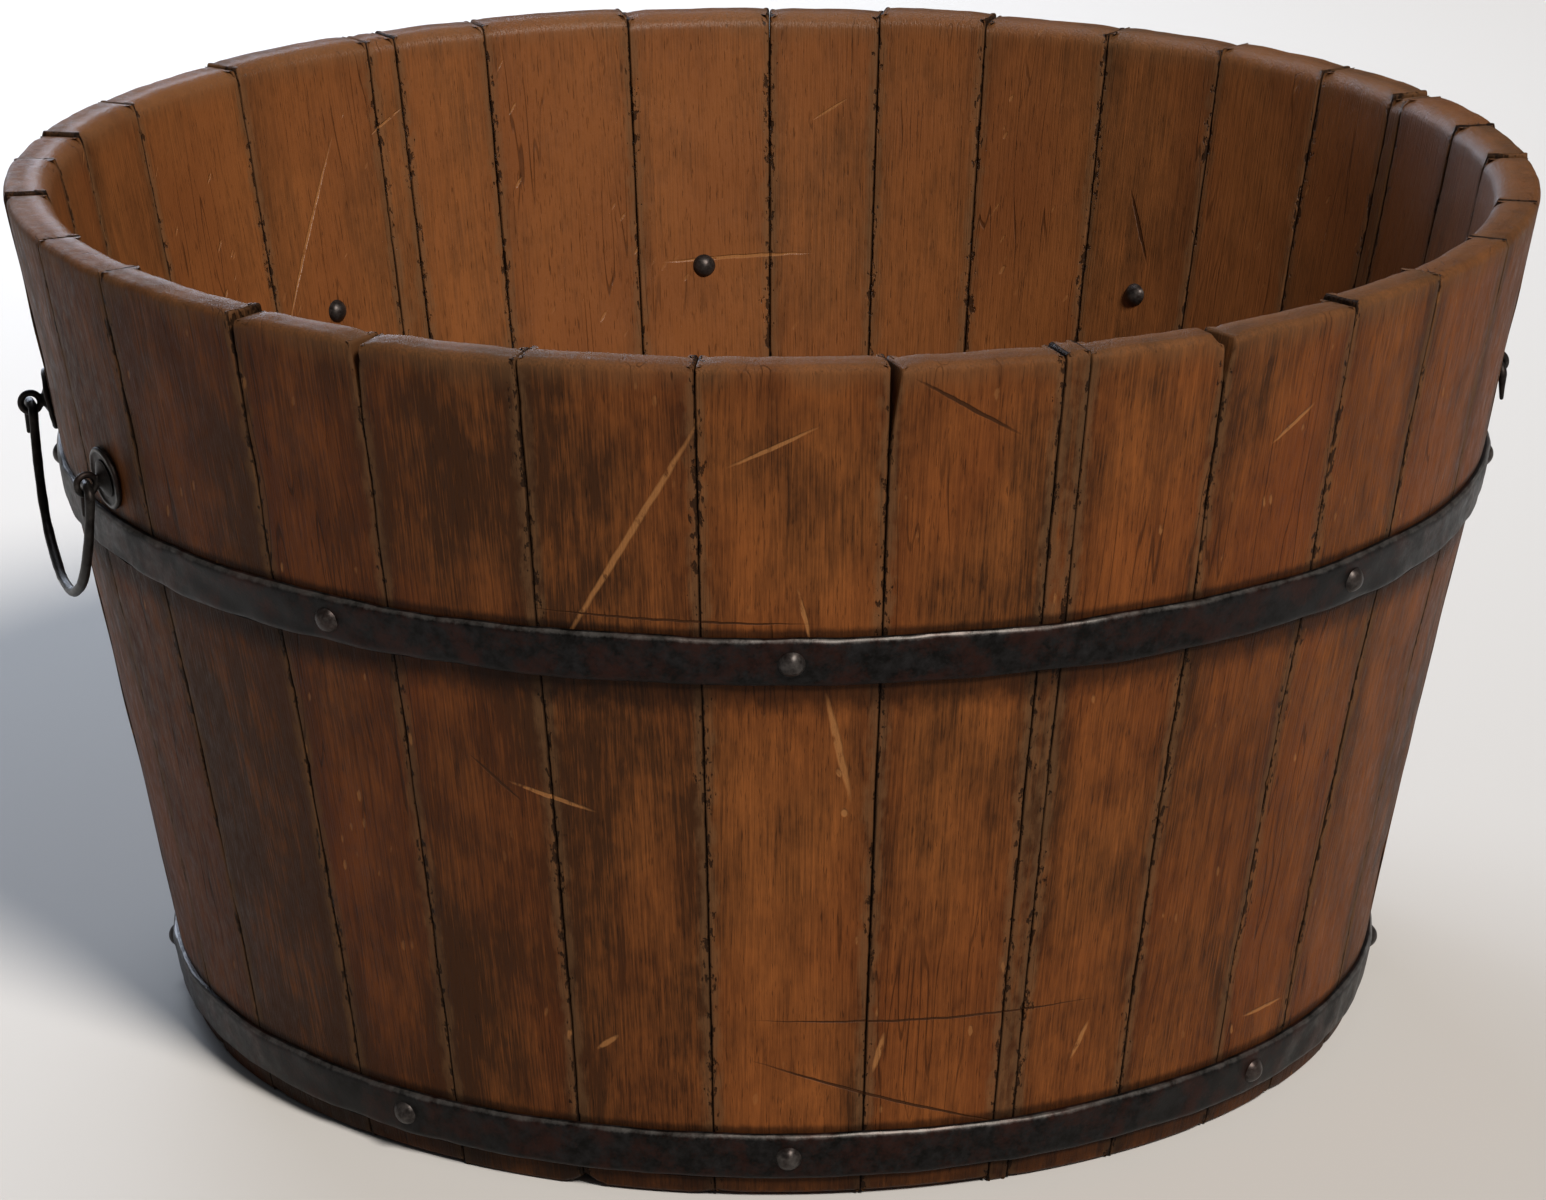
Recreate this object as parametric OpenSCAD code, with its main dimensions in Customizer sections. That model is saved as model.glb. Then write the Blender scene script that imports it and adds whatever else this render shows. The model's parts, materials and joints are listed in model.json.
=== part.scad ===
// Coopered wooden tub: tapered staves held by two riveted iron hoops, a boarded head let into a
// croze near the base, and two drop bails that swing in forged eyes.
// Millimetres, +Z up. The origin is the centre of the base and the bails lie on the X axis.

/* [Tub] */
// Outer radius at the rim
rim_r = 400; // [320:1:480]
// Outer radius at the base
base_r = 315; // [250:1:380]
// Height from the base to the rim
tub_h = 449; // [370:1:540]
// Thickness of a stave, square to its face
stave_t = 24.5; // [20:0.5:30]
// Gap left in each joint between two staves
joint_gap = 0.2; // [0.1:0.05:0.4]
// Rounding of the rim's outer edge
rim_round_out = 5; // [2:0.5:8]
// Rounding of the rim's inner edge
rim_round_in = 8; // [3:0.5:10]
// Rounding of the base's two edges
base_round = 3; // [1:0.5:5]

/* [Head] */
// Thickness of the head boards
head_t = 20; // [16:1:26]
// Height of the head's underside over the base
head_z = 42; // [40:1:60]
// Number of boards in the head
head_boards = 5; // [3:1:7]
// Depth of the croze, the groove that holds the head
croze_depth = 7; // [5:0.5:9]
// Width of the croze
croze_w = 9; // [6:0.5:12]
// Running clearance of the head in the croze
head_gap = 0.3; // [0.2:0.05:0.5]
// Radius of the dowels that pin the boards edge to edge
dowel_r = 4; // [3:0.5:5]
// Length of a dowel
dowel_l = 40; // [30:1:60]

/* [Hoops] */
// Width of the iron strip
hoop_w = 26; // [20:1:32]
// Thickness of the iron strip
hoop_t = 4; // [2.5:0.5:5]
// Height of the upper hoop's middle
upper_hoop_z = 298; // [260:1:310]
// Height of the lower hoop's middle
lower_hoop_z = 25; // [18:1:26]
// Rounding of the strip's two outer edges
hoop_round = 1.5; // [0.5:0.25:2]
// Gap between a hoop and the staves
hoop_gap = 0.1; // [0.05:0.05:0.2]

/* [Rivets] */
// Radius of a rivet's head
rivet_head_r = 6.7; // [5:0.1:8]
// Height of a rivet's head
rivet_head_h = 4.2; // [3:0.1:5]
// Radius of a rivet's shank
rivet_shank_r = 3; // [2:0.1:4]

/* [Handles] */
// Gap between the upper hoop and the rosettes over it
rosette_gap = 4; // [2:0.5:10]
// Distance between the two eyes of one bail
eye_span = 156; // [120:1:190]
// Distance from the wall to the middle of an eye
eye_off = 12; // [10.5:0.5:14]
// Play of the bail's rod in an eye, all round
eye_play = 0.8; // [0.5:0.1:1.2]
// Radius of the eye's wire
eye_wire_r = 1.5; // [1.2:0.1:1.6]
// Radius of the spike's shank
spike_r = 2.6; // [2:0.1:3.2]
// Length of the spike in the stave
spike_l = 20; // [15:1:22]
// Radius of the rosette behind an eye
rosette_r = 16.5; // [12:0.5:19]
// Thickness of the rosette's web
rosette_t = 2.2; // [1.5:0.1:3]
// Radius of the bead round the rosette's edge
bead_r = 1.5; // [1:0.1:2]
// Radius of the bail's rod
rod_r = 2.7; // [2:0.1:2.8]
// Drop of the bail from its eyes to the middle of its rod
bail_drop = 73; // [60:1:84]
// Bend radius of the hooks at the bail's ends
hook_r = 5.5; // [5:0.5:6.5]
// Length of the straight tail past each hook
tail_l = 12; // [8:1:16]
// Radius of the tail's tip
tail_tip_r = 1.2; // [0.8:0.1:1.8]

/* [Fits] */
// Radial clearance of a shank in its hole
shank_gap = 0.15; // [0.1:0.05:0.3]
// Gap under a rivet's inner head or a rosette, where a flat back meets a round wall
seat_gap = 0.15; // [0.1:0.05:0.3]
// Gap from a bail's rod down to the eye that it hangs in
bail_gap = 0.3; // [0.2:0.05:0.5]
// Gap beside an eye before the bail's rod bends
hook_gap = 1.2; // [0.8:0.1:2]

/* [Hidden] */
$fn = 96;

// Widths of the staves along the rim, in order: random widths, with a narrow closing slip here and there
stave_w = [
    91, 83, 13, 75, 82, 70, 85, 83, 103, 70, 71,
    13, 71, 84, 82, 82, 68, 69, 89, 94, 62, 20,
    105, 104, 80, 60, 82, 98, 78, 103, 75, 84, 84
];
// Direction of the joint before the first stave
first_joint = -112.6;
// The staves that carry a rivet, one in each hoop
riveted = [1, 6, 9, 15, 19, 23, 27, 31];
// How far the eye's cone foot spreads past the spike's shank
foot_spread = 3.6;
// How far the spike's point is drawn out
point_l = 6;
// How much thinner the bail's rod is drawn at each of the four steps from its bow to its tail
draw_step = 0.1;
// How far each thinner length of the rod runs on inside the thicker one before it
lap = 0.4;

staves = len(stave_w);
slope = atan((rim_r - base_r) / tub_h);
wall_w = stave_t / cos(slope);
joint_turn = joint_gap / rim_r * 180 / PI;
croze_z = head_z + (head_t - croze_w) / 2;
croze_r = inner_r(croze_z) + croze_depth;
head_r = inner_r(head_z) - head_gap;
board_w = 2 * croze_r / head_boards;

// Height at which the eye spikes enter the wall
handle_z = upper_hoop_z + (hoop_w / 2 + rosette_gap + rosette_r) * cos(slope);
// Radius of the rod in an eye, and of the eye's ring to the middle of its wire
pin_r = rod_r - 2 * draw_step;
eye_ring_r = pin_r + eye_play + eye_wire_r;

// The bail's hinge line, parallel to Y on the handle at +X
eye_r = wall_r(handle_z) + eye_off * cos(slope);
eye_turn = asin(eye_span / 2 / eye_r);
hinge_sag = eye_ring_r * cos(eye_turn) - eye_wire_r - pin_r - bail_gap;
hinge_x = eye_r * cos(eye_turn);
hinge_z = handle_z - eye_off * sin(slope) - hinge_sag;

// The bail's bow is one arc that meets both hooks' bends smoothly. Its radius is the smaller root of
// a quadratic that the two tangencies, the span and the drop give.
half_span = eye_span / 2;
hook_reach = eye_wire_r + hook_gap;
bow_a = pow(hook_r / half_span, 2);
bow_b = 2 * (hook_r - bail_drop);
bow_c = pow(half_span, 2) + pow(bail_drop, 2) - 2 * bail_drop * hook_r;
bow_r = (-bow_b - sqrt(pow(bow_b, 2) - 4 * bow_a * bow_c)) / (2 * bow_a);
bow_y = hook_reach + bow_r * hook_r / half_span;
bow_z = bow_r - bail_drop;
outer_hook_y = half_span + hook_reach;
inner_hook_y = -half_span + hook_reach;
outer_turn = atan2(-hook_r - bow_z, outer_hook_y - bow_y);
inner_turn = atan2(-hook_r - bow_z, inner_hook_y - bow_y);

STAVE_NODES = [for (i = [1:staves]) numbered("stave_", i)];
BOARD_NODES = [for (i = [1:head_boards]) numbered("head_board_", i)];
SIDES = ["right", "left"];
ENDS = ["back", "front"];

// A name with a two-figure number
function numbered(name, i) = str(name, i < 10 ? "0" : "", i);
// Sum of the first n values of a list
function sum(list, n) = n == 0 ? 0 : list[n - 1] + sum(list, n - 1);
// Outer and inner radius of the wall at height z
function wall_r(z) = base_r + (rim_r - base_r) * z / tub_h;
function inner_r(z) = wall_r(z) - wall_w;
// Direction of the joint after stave i, with i = 0 before the first
function joint(i) = first_joint + 360 * sum(stave_w, i) / sum(stave_w, staves);
function stave_middle(i) = (joint(i - 1) + joint(i)) / 2;
// The smaller angle between two directions
function apart(a, b) = abs(((a - b) % 360 + 540) % 360 - 180);
// A profile point, u up the wall and v out of it, from the wall at height z
function on_slope(z, u, v) = [
    wall_r(z) + u * sin(slope) + v * cos(slope),
    z + u * cos(slope) - v * sin(slope)
];
// Points of the arc that rounds the corner p between a and b
function rounded(a, p, b, r, steps = 5) =
    let (
        u = (a - p) / norm(a - p),
        v = (b - p) / norm(b - p),
        half = acos(u * v) / 2,
        c = p + (u + v) / norm(u + v) * r / sin(half),
        from = p + u * r / tan(half) - c,
        to = p + v * r / tan(half) - c,
        start = atan2(from.y, from.x),
        turn = ((atan2(to.y, to.x) - start) % 360 + 540) % 360 - 180
    )
    [for (k = [0:steps]) c + r * [cos(start + turn * k / steps), sin(start + turn * k / steps)]];

// Sets a child on the wall: its +Z is the wall's outward normal and its +X runs down the wall
module on_wall(turn, z) {
    rotate([0, 0, turn])
        translate([wall_r(z), 0, z])
            rotate([0, 90 + slope, 0])
                children();
}

// The holes that the wall and hoops share with rivets and spikes
module rivet_hole(i, z) {
    on_wall(stave_middle(i), z)
        translate([0, 0, -2 * stave_t])
            cylinder(r = rivet_shank_r + shank_gap, h = 2 * stave_t + 2 * hoop_t);
}
module spike_hole(turn) {
    on_wall(turn, handle_z)
        translate([0, 0, -spike_l - seat_gap])
            cylinder(r = spike_r + shank_gap, h = spike_l + eye_off);
}

// One stave: a sector of the wall with its croze cut and its ends rounded
module stave_profile() {
    base_out = [wall_r(0), 0];
    base_in = [inner_r(0), 0];
    rim_out = [wall_r(tub_h), tub_h];
    rim_in = [inner_r(tub_h), tub_h];
    polygon(concat(
        rounded(base_in, base_out, rim_out, base_round),
        rounded(base_out, rim_out, rim_in, rim_round_out),
        rounded(rim_out, rim_in, base_in, rim_round_in),
        [
            [inner_r(croze_z + croze_w), croze_z + croze_w],
            [croze_r, croze_z + croze_w],
            [croze_r, croze_z],
            [inner_r(croze_z), croze_z]
        ],
        rounded(rim_in, base_in, base_out, base_round)
    ));
}
module stave(i) {
    width = joint(i) - joint(i - 1) - joint_turn;
    color([0.40 + 0.03 * (i % 3), 0.22 + 0.02 * (i % 3), 0.10])
        difference() {
            rotate([0, 0, joint(i - 1) + joint_turn / 2])
                rotate_extrude(angle = width)
                    stave_profile();
            if (len(search(i, riveted)) > 0)
                for (z = [upper_hoop_z, lower_hoop_z]) rivet_hole(i, z);
            for (side = [0, 180], turn = [eye_turn, -eye_turn])
                if (apart(side + turn, stave_middle(i)) < width / 2 + 1) spike_hole(side + turn);
        }
}

// The head: boards pinned edge to edge, with a tongue all round that sits in the croze
module head_profile() {
    polygon([
        [0, head_z],
        [head_r, head_z],
        [head_r, croze_z + head_gap],
        [croze_r - head_gap, croze_z + head_gap],
        [croze_r - head_gap, croze_z + croze_w - head_gap],
        [head_r, croze_z + croze_w - head_gap],
        [head_r, head_z + head_t],
        [0, head_z + head_t]
    ]);
}
module dowel(k, side, gap) {
    translate([side * croze_r / 2, k * board_w - croze_r, head_z + head_t / 2])
        rotate([90, 0, 0])
            cylinder(r = dowel_r + gap, h = dowel_l + 2 * gap, center = true);
}
module head_board(i) {
    color("saddlebrown")
        difference() {
            intersection() {
                rotate_extrude() head_profile();
                translate([-croze_r, (i - 1) * board_w - croze_r + joint_gap / 2, 0])
                    cube([2 * croze_r, board_w - joint_gap, head_z + 2 * head_t]);
            }
            for (k = [i - 1, i], side = [-1, 1]) dowel(k, side, shank_gap);
        }
}
module head_dowels() {
    color("burlywood")
        for (k = [1:head_boards - 1], side = [-1, 1]) dowel(k, side, 0);
}

// One hoop: a strip bent flat to the wall's taper and welded into a ring
module hoop(z) {
    top_in = on_slope(z, hoop_w / 2, hoop_gap);
    top_out = on_slope(z, hoop_w / 2, hoop_gap + hoop_t);
    low_in = on_slope(z, -hoop_w / 2, hoop_gap);
    low_out = on_slope(z, -hoop_w / 2, hoop_gap + hoop_t);
    color([0.16, 0.15, 0.15])
        difference() {
            rotate_extrude()
                polygon(concat(
                    [low_in],
                    rounded(low_in, low_out, top_out, hoop_round, 3),
                    rounded(low_out, top_out, top_in, hoop_round, 3),
                    [top_in]
                ));
            for (i = riveted) rivet_hole(i, z);
        }
}

// A rivet through hoop and stave, with a domed head at each end
module dome_profile() {
    dome_r = (pow(rivet_head_r, 2) + pow(rivet_head_h, 2)) / (2 * rivet_head_h);
    intersection() {
        translate([0, rivet_head_h - dome_r]) circle(r = dome_r);
        square([rivet_head_r, rivet_head_h]);
    }
}
module rivet(i, z) {
    outside = hoop_gap + hoop_t;
    inside = stave_t + seat_gap;
    on_wall(stave_middle(i), z)
        rotate_extrude() {
            translate([0, outside]) dome_profile();
            translate([0, -inside]) square([rivet_shank_r, inside + outside]);
            translate([0, -inside]) mirror([0, 1]) dome_profile();
        }
}
module rivets(z) {
    color([0.28, 0.27, 0.27])
        for (i = riveted) rivet(i, z);
}

// The dished plate behind an eye, with a bead round its edge
module rosette(turn) {
    color([0.20, 0.19, 0.19])
        on_wall(turn, handle_z)
            rotate_extrude() {
                translate([spike_r + shank_gap, seat_gap])
                    square([rosette_r - bead_r - spike_r - shank_gap, rosette_t]);
                translate([rosette_r - bead_r, seat_gap + bead_r]) circle(r = bead_r);
                translate([rosette_r - 2 * bead_r, seat_gap]) square([bead_r, bead_r]);
            }
}

// A forged eye: ring, coned foot that bears on the rosette, and a spike in the stave
module eye(turn) {
    foot_z = 2 * seat_gap + rosette_t;
    neck_z = eye_off - eye_ring_r;
    color([0.14, 0.13, 0.13])
        on_wall(turn, handle_z) {
            translate([0, 0, eye_off])
                rotate([90, 0, 0])
                    rotate_extrude() translate([eye_ring_r, 0]) circle(r = eye_wire_r);
            translate([0, 0, foot_z])
                cylinder(r1 = spike_r + foot_spread, r2 = eye_wire_r, h = neck_z - foot_z);
            translate([0, 0, point_l - spike_l])
                cylinder(r = spike_r, h = foot_z + spike_l - point_l);
            translate([0, 0, -spike_l])
                cylinder(r1 = 0.5, r2 = spike_r, h = point_l);
        }
}

// A bail of round rod for the handle at +X. Its path lies in the plane x = hinge_x, as y and height
// over the hinge line. Both hooks pass their eyes in the same direction, and the rod is drawn a little
// thinner at each step from the bow to the tail.
module rod_arc(y, z, r, from, to, drawn) {
    translate([hinge_x, y, hinge_z + z])
        rotate([90, 0, 90])
            rotate([0, 0, from])
                rotate_extrude(angle = to - from) translate([r, 0]) circle(r = rod_r - drawn);
}
module hook_end(y, from) {
    tail_y = y - 2 * hook_reach - hook_r;
    lap_turn = lap / hook_r * 180 / PI;
    rod_arc(y, -hook_r, hook_r, from - lap_turn, 90, draw_step);
    translate([hinge_x, y + lap, hinge_z])
        rotate([90, 0, 0]) cylinder(r = pin_r, h = 2 * hook_reach + lap);
    rod_arc(tail_y + hook_r, -hook_r, hook_r, 90 - lap_turn, 180, 3 * draw_step);
    translate([hinge_x, tail_y, hinge_z - hook_r - tail_l])
        cylinder(r1 = tail_tip_r, r2 = rod_r - 4 * draw_step, h = tail_l + lap);
}
module bail() {
    color([0.12, 0.12, 0.12]) {
        rod_arc(bow_y, bow_z, bow_r, inner_turn, outer_turn, 0);
        hook_end(outer_hook_y, outer_turn);
        hook_end(inner_hook_y, 180 + inner_turn);
    }
}

for (i = [1:staves])
    stave(i);
for (i = [1:head_boards])
    head_board(i);
head_dowels();
hoop(upper_hoop_z);  // upper_hoop
hoop(lower_hoop_z);  // lower_hoop
rivets(upper_hoop_z);  // upper_rivets
rivets(lower_hoop_z);  // lower_rivets
for (s = [0, 1], e = [0, 1]) {
    turn = 180 * s + (e == s ? eye_turn : -eye_turn);
    rosette(turn);
    eye(turn);
}
for (s = [0, 1])
    rotate([0, 0, 180 * s]) bail();
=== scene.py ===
"""The looks of a coopered wooden tub with iron hoops and drop bails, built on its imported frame.

Every length is in metres unless a name or a comment says millimetres. +Z is up and the origin is the
centre of the tub's base. A direction round the tub is an angle about Z from +X, and a front angle is
the same angle counted from the middle of the tub's front, positive towards its right.
"""

import json
import logging
import math
from dataclasses import dataclass, field
from enum import Enum

import bmesh
import bpy
import numpy as np
from mathutils import Matrix, Vector

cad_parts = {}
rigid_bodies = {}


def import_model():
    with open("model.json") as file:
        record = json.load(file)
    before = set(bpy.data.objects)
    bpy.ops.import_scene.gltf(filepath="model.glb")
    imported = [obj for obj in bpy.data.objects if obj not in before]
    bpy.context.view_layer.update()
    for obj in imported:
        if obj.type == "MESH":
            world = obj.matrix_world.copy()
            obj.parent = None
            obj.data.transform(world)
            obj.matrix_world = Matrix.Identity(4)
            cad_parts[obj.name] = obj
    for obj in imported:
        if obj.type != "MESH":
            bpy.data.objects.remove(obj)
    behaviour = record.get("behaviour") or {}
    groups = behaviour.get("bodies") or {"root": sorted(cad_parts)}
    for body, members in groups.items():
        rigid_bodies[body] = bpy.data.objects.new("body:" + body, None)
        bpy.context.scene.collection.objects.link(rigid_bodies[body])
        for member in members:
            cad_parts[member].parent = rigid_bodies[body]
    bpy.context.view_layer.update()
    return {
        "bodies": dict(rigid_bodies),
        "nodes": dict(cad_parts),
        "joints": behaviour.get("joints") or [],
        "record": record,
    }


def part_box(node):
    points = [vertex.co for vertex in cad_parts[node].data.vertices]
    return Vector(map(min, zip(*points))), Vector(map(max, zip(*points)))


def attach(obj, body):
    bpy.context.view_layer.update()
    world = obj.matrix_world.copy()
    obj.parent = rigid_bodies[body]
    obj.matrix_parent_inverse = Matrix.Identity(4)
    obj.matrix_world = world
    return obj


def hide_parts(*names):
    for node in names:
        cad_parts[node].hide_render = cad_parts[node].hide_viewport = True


LOG = logging.getLogger("tub")
MM = 0.001
# A distance in millimetres at which neither an edge nor a hoop shows
FAR = 100.0
# Direction of the middle of the tub's front, which the camera faces
FRONT = math.radians(-107.4)

Socket = bpy.types.NodeSocket
Object = bpy.types.Object
Material = bpy.types.Material


class Kind(Enum):
    """The kinds of shader node that the finishes use."""

    ATTRIBUTE = "ShaderNodeAttribute"
    BUMP = "ShaderNodeBump"
    COORDINATES = "ShaderNodeTexCoord"
    GRADIENT = "ShaderNodeTexGradient"
    MAPPING = "ShaderNodeMapping"
    MATH = "ShaderNodeMath"
    MIX = "ShaderNodeMix"
    NOISE = "ShaderNodeTexNoise"
    OUTPUT = "ShaderNodeOutputMaterial"
    PRINCIPLED = "ShaderNodeBsdfPrincipled"
    RANGE = "ShaderNodeMapRange"
    SEPARATE = "ShaderNodeSeparateXYZ"
    VECTOR = "ShaderNodeVectorMath"
    VORONOI = "ShaderNodeTexVoronoi"


class Side(Enum):
    """The faces of the wall and the head, as the third number of the wall attribute."""

    OUTSIDE = 1.0
    EDGE = 0.0
    INSIDE = -1.0
    HEAD = 5.0


def linear(hex_colour: str) -> tuple[float, float, float, float]:
    """Turns an sRGB colour into linear light.

    Args:
        hex_colour: six hexadecimal digits after a hash.

    Returns:
        Red, green, blue and an alpha of 1.
    """
    parts = [int(hex_colour[i : i + 2], 16) / 255 for i in (1, 3, 5)]
    light = [c / 12.92 if c <= 0.04045 else ((c + 0.055) / 1.055) ** 2.4 for c in parts]
    return (*light, 1.0)


class Ripple:
    """A smooth, seeded unevenness: a sum of plane waves of chance direction, about -1 to 1."""

    def __init__(self, seed: int, shortest: float, longest: float, axes: int, waves: int = 14) -> None:
        """Draws the waves.

        Args:
            seed: the number that the chance waves come from.
            shortest: the shortest wavelength.
            longest: the longest wavelength.
            axes: how many coordinates a point has.
            waves: how many waves are added up.
        """
        draw = np.random.default_rng(seed)
        lengths = np.exp(draw.uniform(math.log(shortest), math.log(longest), waves))
        ways = draw.normal(size=(waves, axes))
        ways /= np.linalg.norm(ways, axis=1)[:, None]
        self.vectors = (2 * math.pi * ways / lengths[:, None]).T
        self.phases = draw.uniform(0, 2 * math.pi, waves)
        heights = np.sqrt(lengths)
        self.heights = heights / np.linalg.norm(heights)

    def at(self, *coordinates: np.ndarray) -> np.ndarray:
        """Gives the unevenness at points, one array for each coordinate."""
        points = np.stack(np.broadcast_arrays(*coordinates), axis=-1)
        return np.sin(points @ self.vectors + self.phases) @ self.heights


class MeshDraft:
    """Points, faces and attributes of a mesh while it is being built."""

    def __init__(self) -> None:
        """Starts with nothing."""
        self.points: list[np.ndarray] = []
        self.faces: list[tuple[int, ...]] = []
        self.fields: dict[str, list[np.ndarray]] = {}
        self.count = 0

    def add(self, points: np.ndarray, **fields: np.ndarray) -> np.ndarray:
        """Adds points with their attributes.

        Args:
            points: an array of any shape whose last axis is x, y, z.
            fields: attributes with one number or one vector for each point.

        Returns:
            The index of each point, in the array's own shape.
        """
        shape = points.shape[:-1]
        total = int(np.prod(shape))
        index = np.arange(self.count, self.count + total).reshape(shape)
        self.points.append(points.reshape(-1, 3))
        for name, values in fields.items():
            self.fields.setdefault(name, []).append(values.reshape(total, -1))
        self.count += total
        return index

    def skin(self, index: np.ndarray, round_rows: bool = False, round_ends: bool = False) -> None:
        """Covers a grid of points with quads.

        Args:
            index: the points' indices, as rows of equal length.
            round_rows: whether each row closes on itself.
            round_ends: whether the last row joins the first.
        """
        rows = np.vstack([index, index[:1]]) if round_ends else index
        grid = np.hstack([rows, rows[:, :1]]) if round_rows else rows
        quads = np.stack([grid[:-1, :-1], grid[:-1, 1:], grid[1:, 1:], grid[1:, :-1]], axis=-1)
        self.faces.extend(map(tuple, quads.reshape(-1, 4).tolist()))

    def cap(self, *rings: np.ndarray) -> None:
        """Closes each ring of points with one face."""
        self.faces.extend(tuple(ring.tolist()) for ring in rings)

    def finish(self, name: str, crease: float = 50.0) -> Object:
        """Makes the mesh and its object, smooth except at its creases.

        Args:
            name: the object's name.
            crease: the angle in degrees from which an edge stays sharp.

        Returns:
            The new object, linked to the scene.
        """
        mesh = bpy.data.meshes.new(name)
        mesh.from_pydata(np.vstack(self.points).tolist(), [], self.faces)
        for key, parts in self.fields.items():
            values = np.vstack(parts)
            kind, part = ("FLOAT_VECTOR", "vector") if values.shape[1] == 3 else ("FLOAT", "value")
            target = mesh.attributes.new(key, kind, "POINT").data
            target.foreach_set(part, values.ravel().astype(np.float32))
        work = bmesh.new()
        work.from_mesh(mesh)
        bmesh.ops.recalc_face_normals(work, faces=work.faces)
        for edge in work.edges:
            edge.smooth = len(edge.link_faces) != 2 or edge.calc_face_angle(0) < math.radians(crease)
        for face in work.faces:
            face.smooth = True
        work.to_mesh(mesh)
        work.free()
        piece = bpy.data.objects.new(name, mesh)
        bpy.context.scene.collection.objects.link(piece)
        return piece


def seat(piece: Object, body: str, slot: str, finish: Material, *nodes: str) -> None:
    """Puts a finished piece in the frame and reports it.

    Args:
        piece: the new piece, in place.
        body: the body that it moves with.
        slot: the record's material slot, not used.
        finish: the material that it gets.
        nodes: the CAD nodes that it stands for.
    """
    piece.data.materials.clear()
    piece.data.materials.append(finish)
    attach(piece, body)
    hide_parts(*nodes)
    LOG.info("%s: %d points on %s", piece.name, len(piece.data.vertices), body)


def node_points(frame: dict, name: str) -> np.ndarray:
    """Gives the points of a CAD node as rows of x, y, z."""
    return np.array([v.co for v in frame["nodes"][name].data.vertices])


# ---------------------------------------------------------------------------------------------------
# What the frame says about the wall


@dataclass(frozen=True)
class Wall:
    """The cone that the staves make, as the frame has it."""

    base_radius: float
    rise: float
    thickness: float
    height: float
    croze_low: float
    croze_high: float
    croze_depth: float

    @classmethod
    def read(cls, frame: dict, node: str) -> "Wall":
        """Reads the wall from one stave.

        Args:
            frame: the loaded frame.
            node: the name of a stave.

        Returns:
            The wall that the stave is a part of.
        """
        base, rise = cls.cone(frame, node, outward=1)
        inner_base, _ = cls.cone(frame, node, outward=-1)
        points = node_points(frame, node)
        height = float(points[:, 2].max())
        thickness = base - inner_base
        # The croze is what lies past the inner face near the foot, in the inner half of the board.
        past = np.hypot(points[:, 0], points[:, 1]) - (inner_base + rise * points[:, 2])
        low = (points[:, 2] > 0.08 * height) & (points[:, 2] < 0.2 * height)
        groove = points[low & (past > 0.05 * thickness) & (past < 0.5 * thickness)]
        return cls(
            base_radius=base,
            rise=rise,
            thickness=thickness,
            height=height,
            croze_low=float(groove[:, 2].min()),
            croze_high=float(groove[:, 2].max()),
            croze_depth=float(past[low].clip(0, 0.5 * thickness).max()),
        )

    @staticmethod
    def cone(frame: dict, node: str, outward: int) -> tuple[float, float]:
        """Fits the cone of a stave's largest face that looks outward, or inward with -1.

        Returns:
            The cone's radius at the base, and what it gains for each metre of height.
        """
        mesh = frame["nodes"][node].data

        def facing(face: bpy.types.MeshPolygon) -> float:
            """Tells how squarely a face looks away from the axis."""
            way = Vector((face.center.x, face.center.y, 0)).normalized()
            return outward * face.normal.dot(way)

        faces = [f for f in mesh.polygons if facing(f) > 0.9]
        main = max(faces, key=lambda f: f.area)
        same = [f for f in faces if abs(f.normal.z - main.normal.z) < 0.001]
        points = np.array([mesh.vertices[i].co for f in same for i in f.vertices])
        rise, base = np.polyfit(points[:, 2], np.hypot(points[:, 0], points[:, 1]), 1)
        return float(base), float(rise)

    @property
    def slope(self) -> float:
        """The wall's lean from upright, in radians."""
        return math.atan(self.rise)

    def radius(self, z: np.ndarray | float) -> np.ndarray | float:
        """Gives the outer radius at a height."""
        return self.base_radius + self.rise * z

    def on(self, turn: float, z: float) -> Matrix:
        """Gives the frame of a fitting: +Z out of the wall, +X down it, from a point on its face."""
        place = Matrix.Translation((self.radius(z), 0, z))
        lean = Matrix.Rotation(math.pi / 2 + self.slope, 4, "Y")
        return Matrix.Rotation(turn, 4, "Z") @ place @ lean

    def section(self, along: np.ndarray, out: np.ndarray, z: float) -> tuple[np.ndarray, np.ndarray]:
        """Turns distances up the wall and out of it, from a height z, into radius and height."""
        radius = self.radius(z) + along * math.sin(self.slope) + out * math.cos(self.slope)
        return radius, z + along * math.cos(self.slope) - out * math.sin(self.slope)


def placed(points: np.ndarray, matrix: Matrix) -> np.ndarray:
    """Moves local points with a matrix."""
    turn = np.array(matrix.to_3x3())
    return points @ turn.T + np.array(matrix.translation)


def lathe(profile: np.ndarray, sides: int) -> np.ndarray:
    """Turns a profile of radius and height about Z.

    Args:
        profile: rows of radius and height.
        sides: points in each ring.

    Returns:
        A grid of points, one ring for each row of the profile.
    """
    turns = np.linspace(0, 2 * math.pi, sides, endpoint=False)
    radius, height = profile[:, :1], profile[:, 1:]
    flat = np.stack([radius * np.cos(turns), radius * np.sin(turns)], axis=-1)
    return np.concatenate([flat, np.broadcast_to(height[..., None], (*flat.shape[:2], 1))], axis=-1)


# ---------------------------------------------------------------------------------------------------
# Finishes


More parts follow.
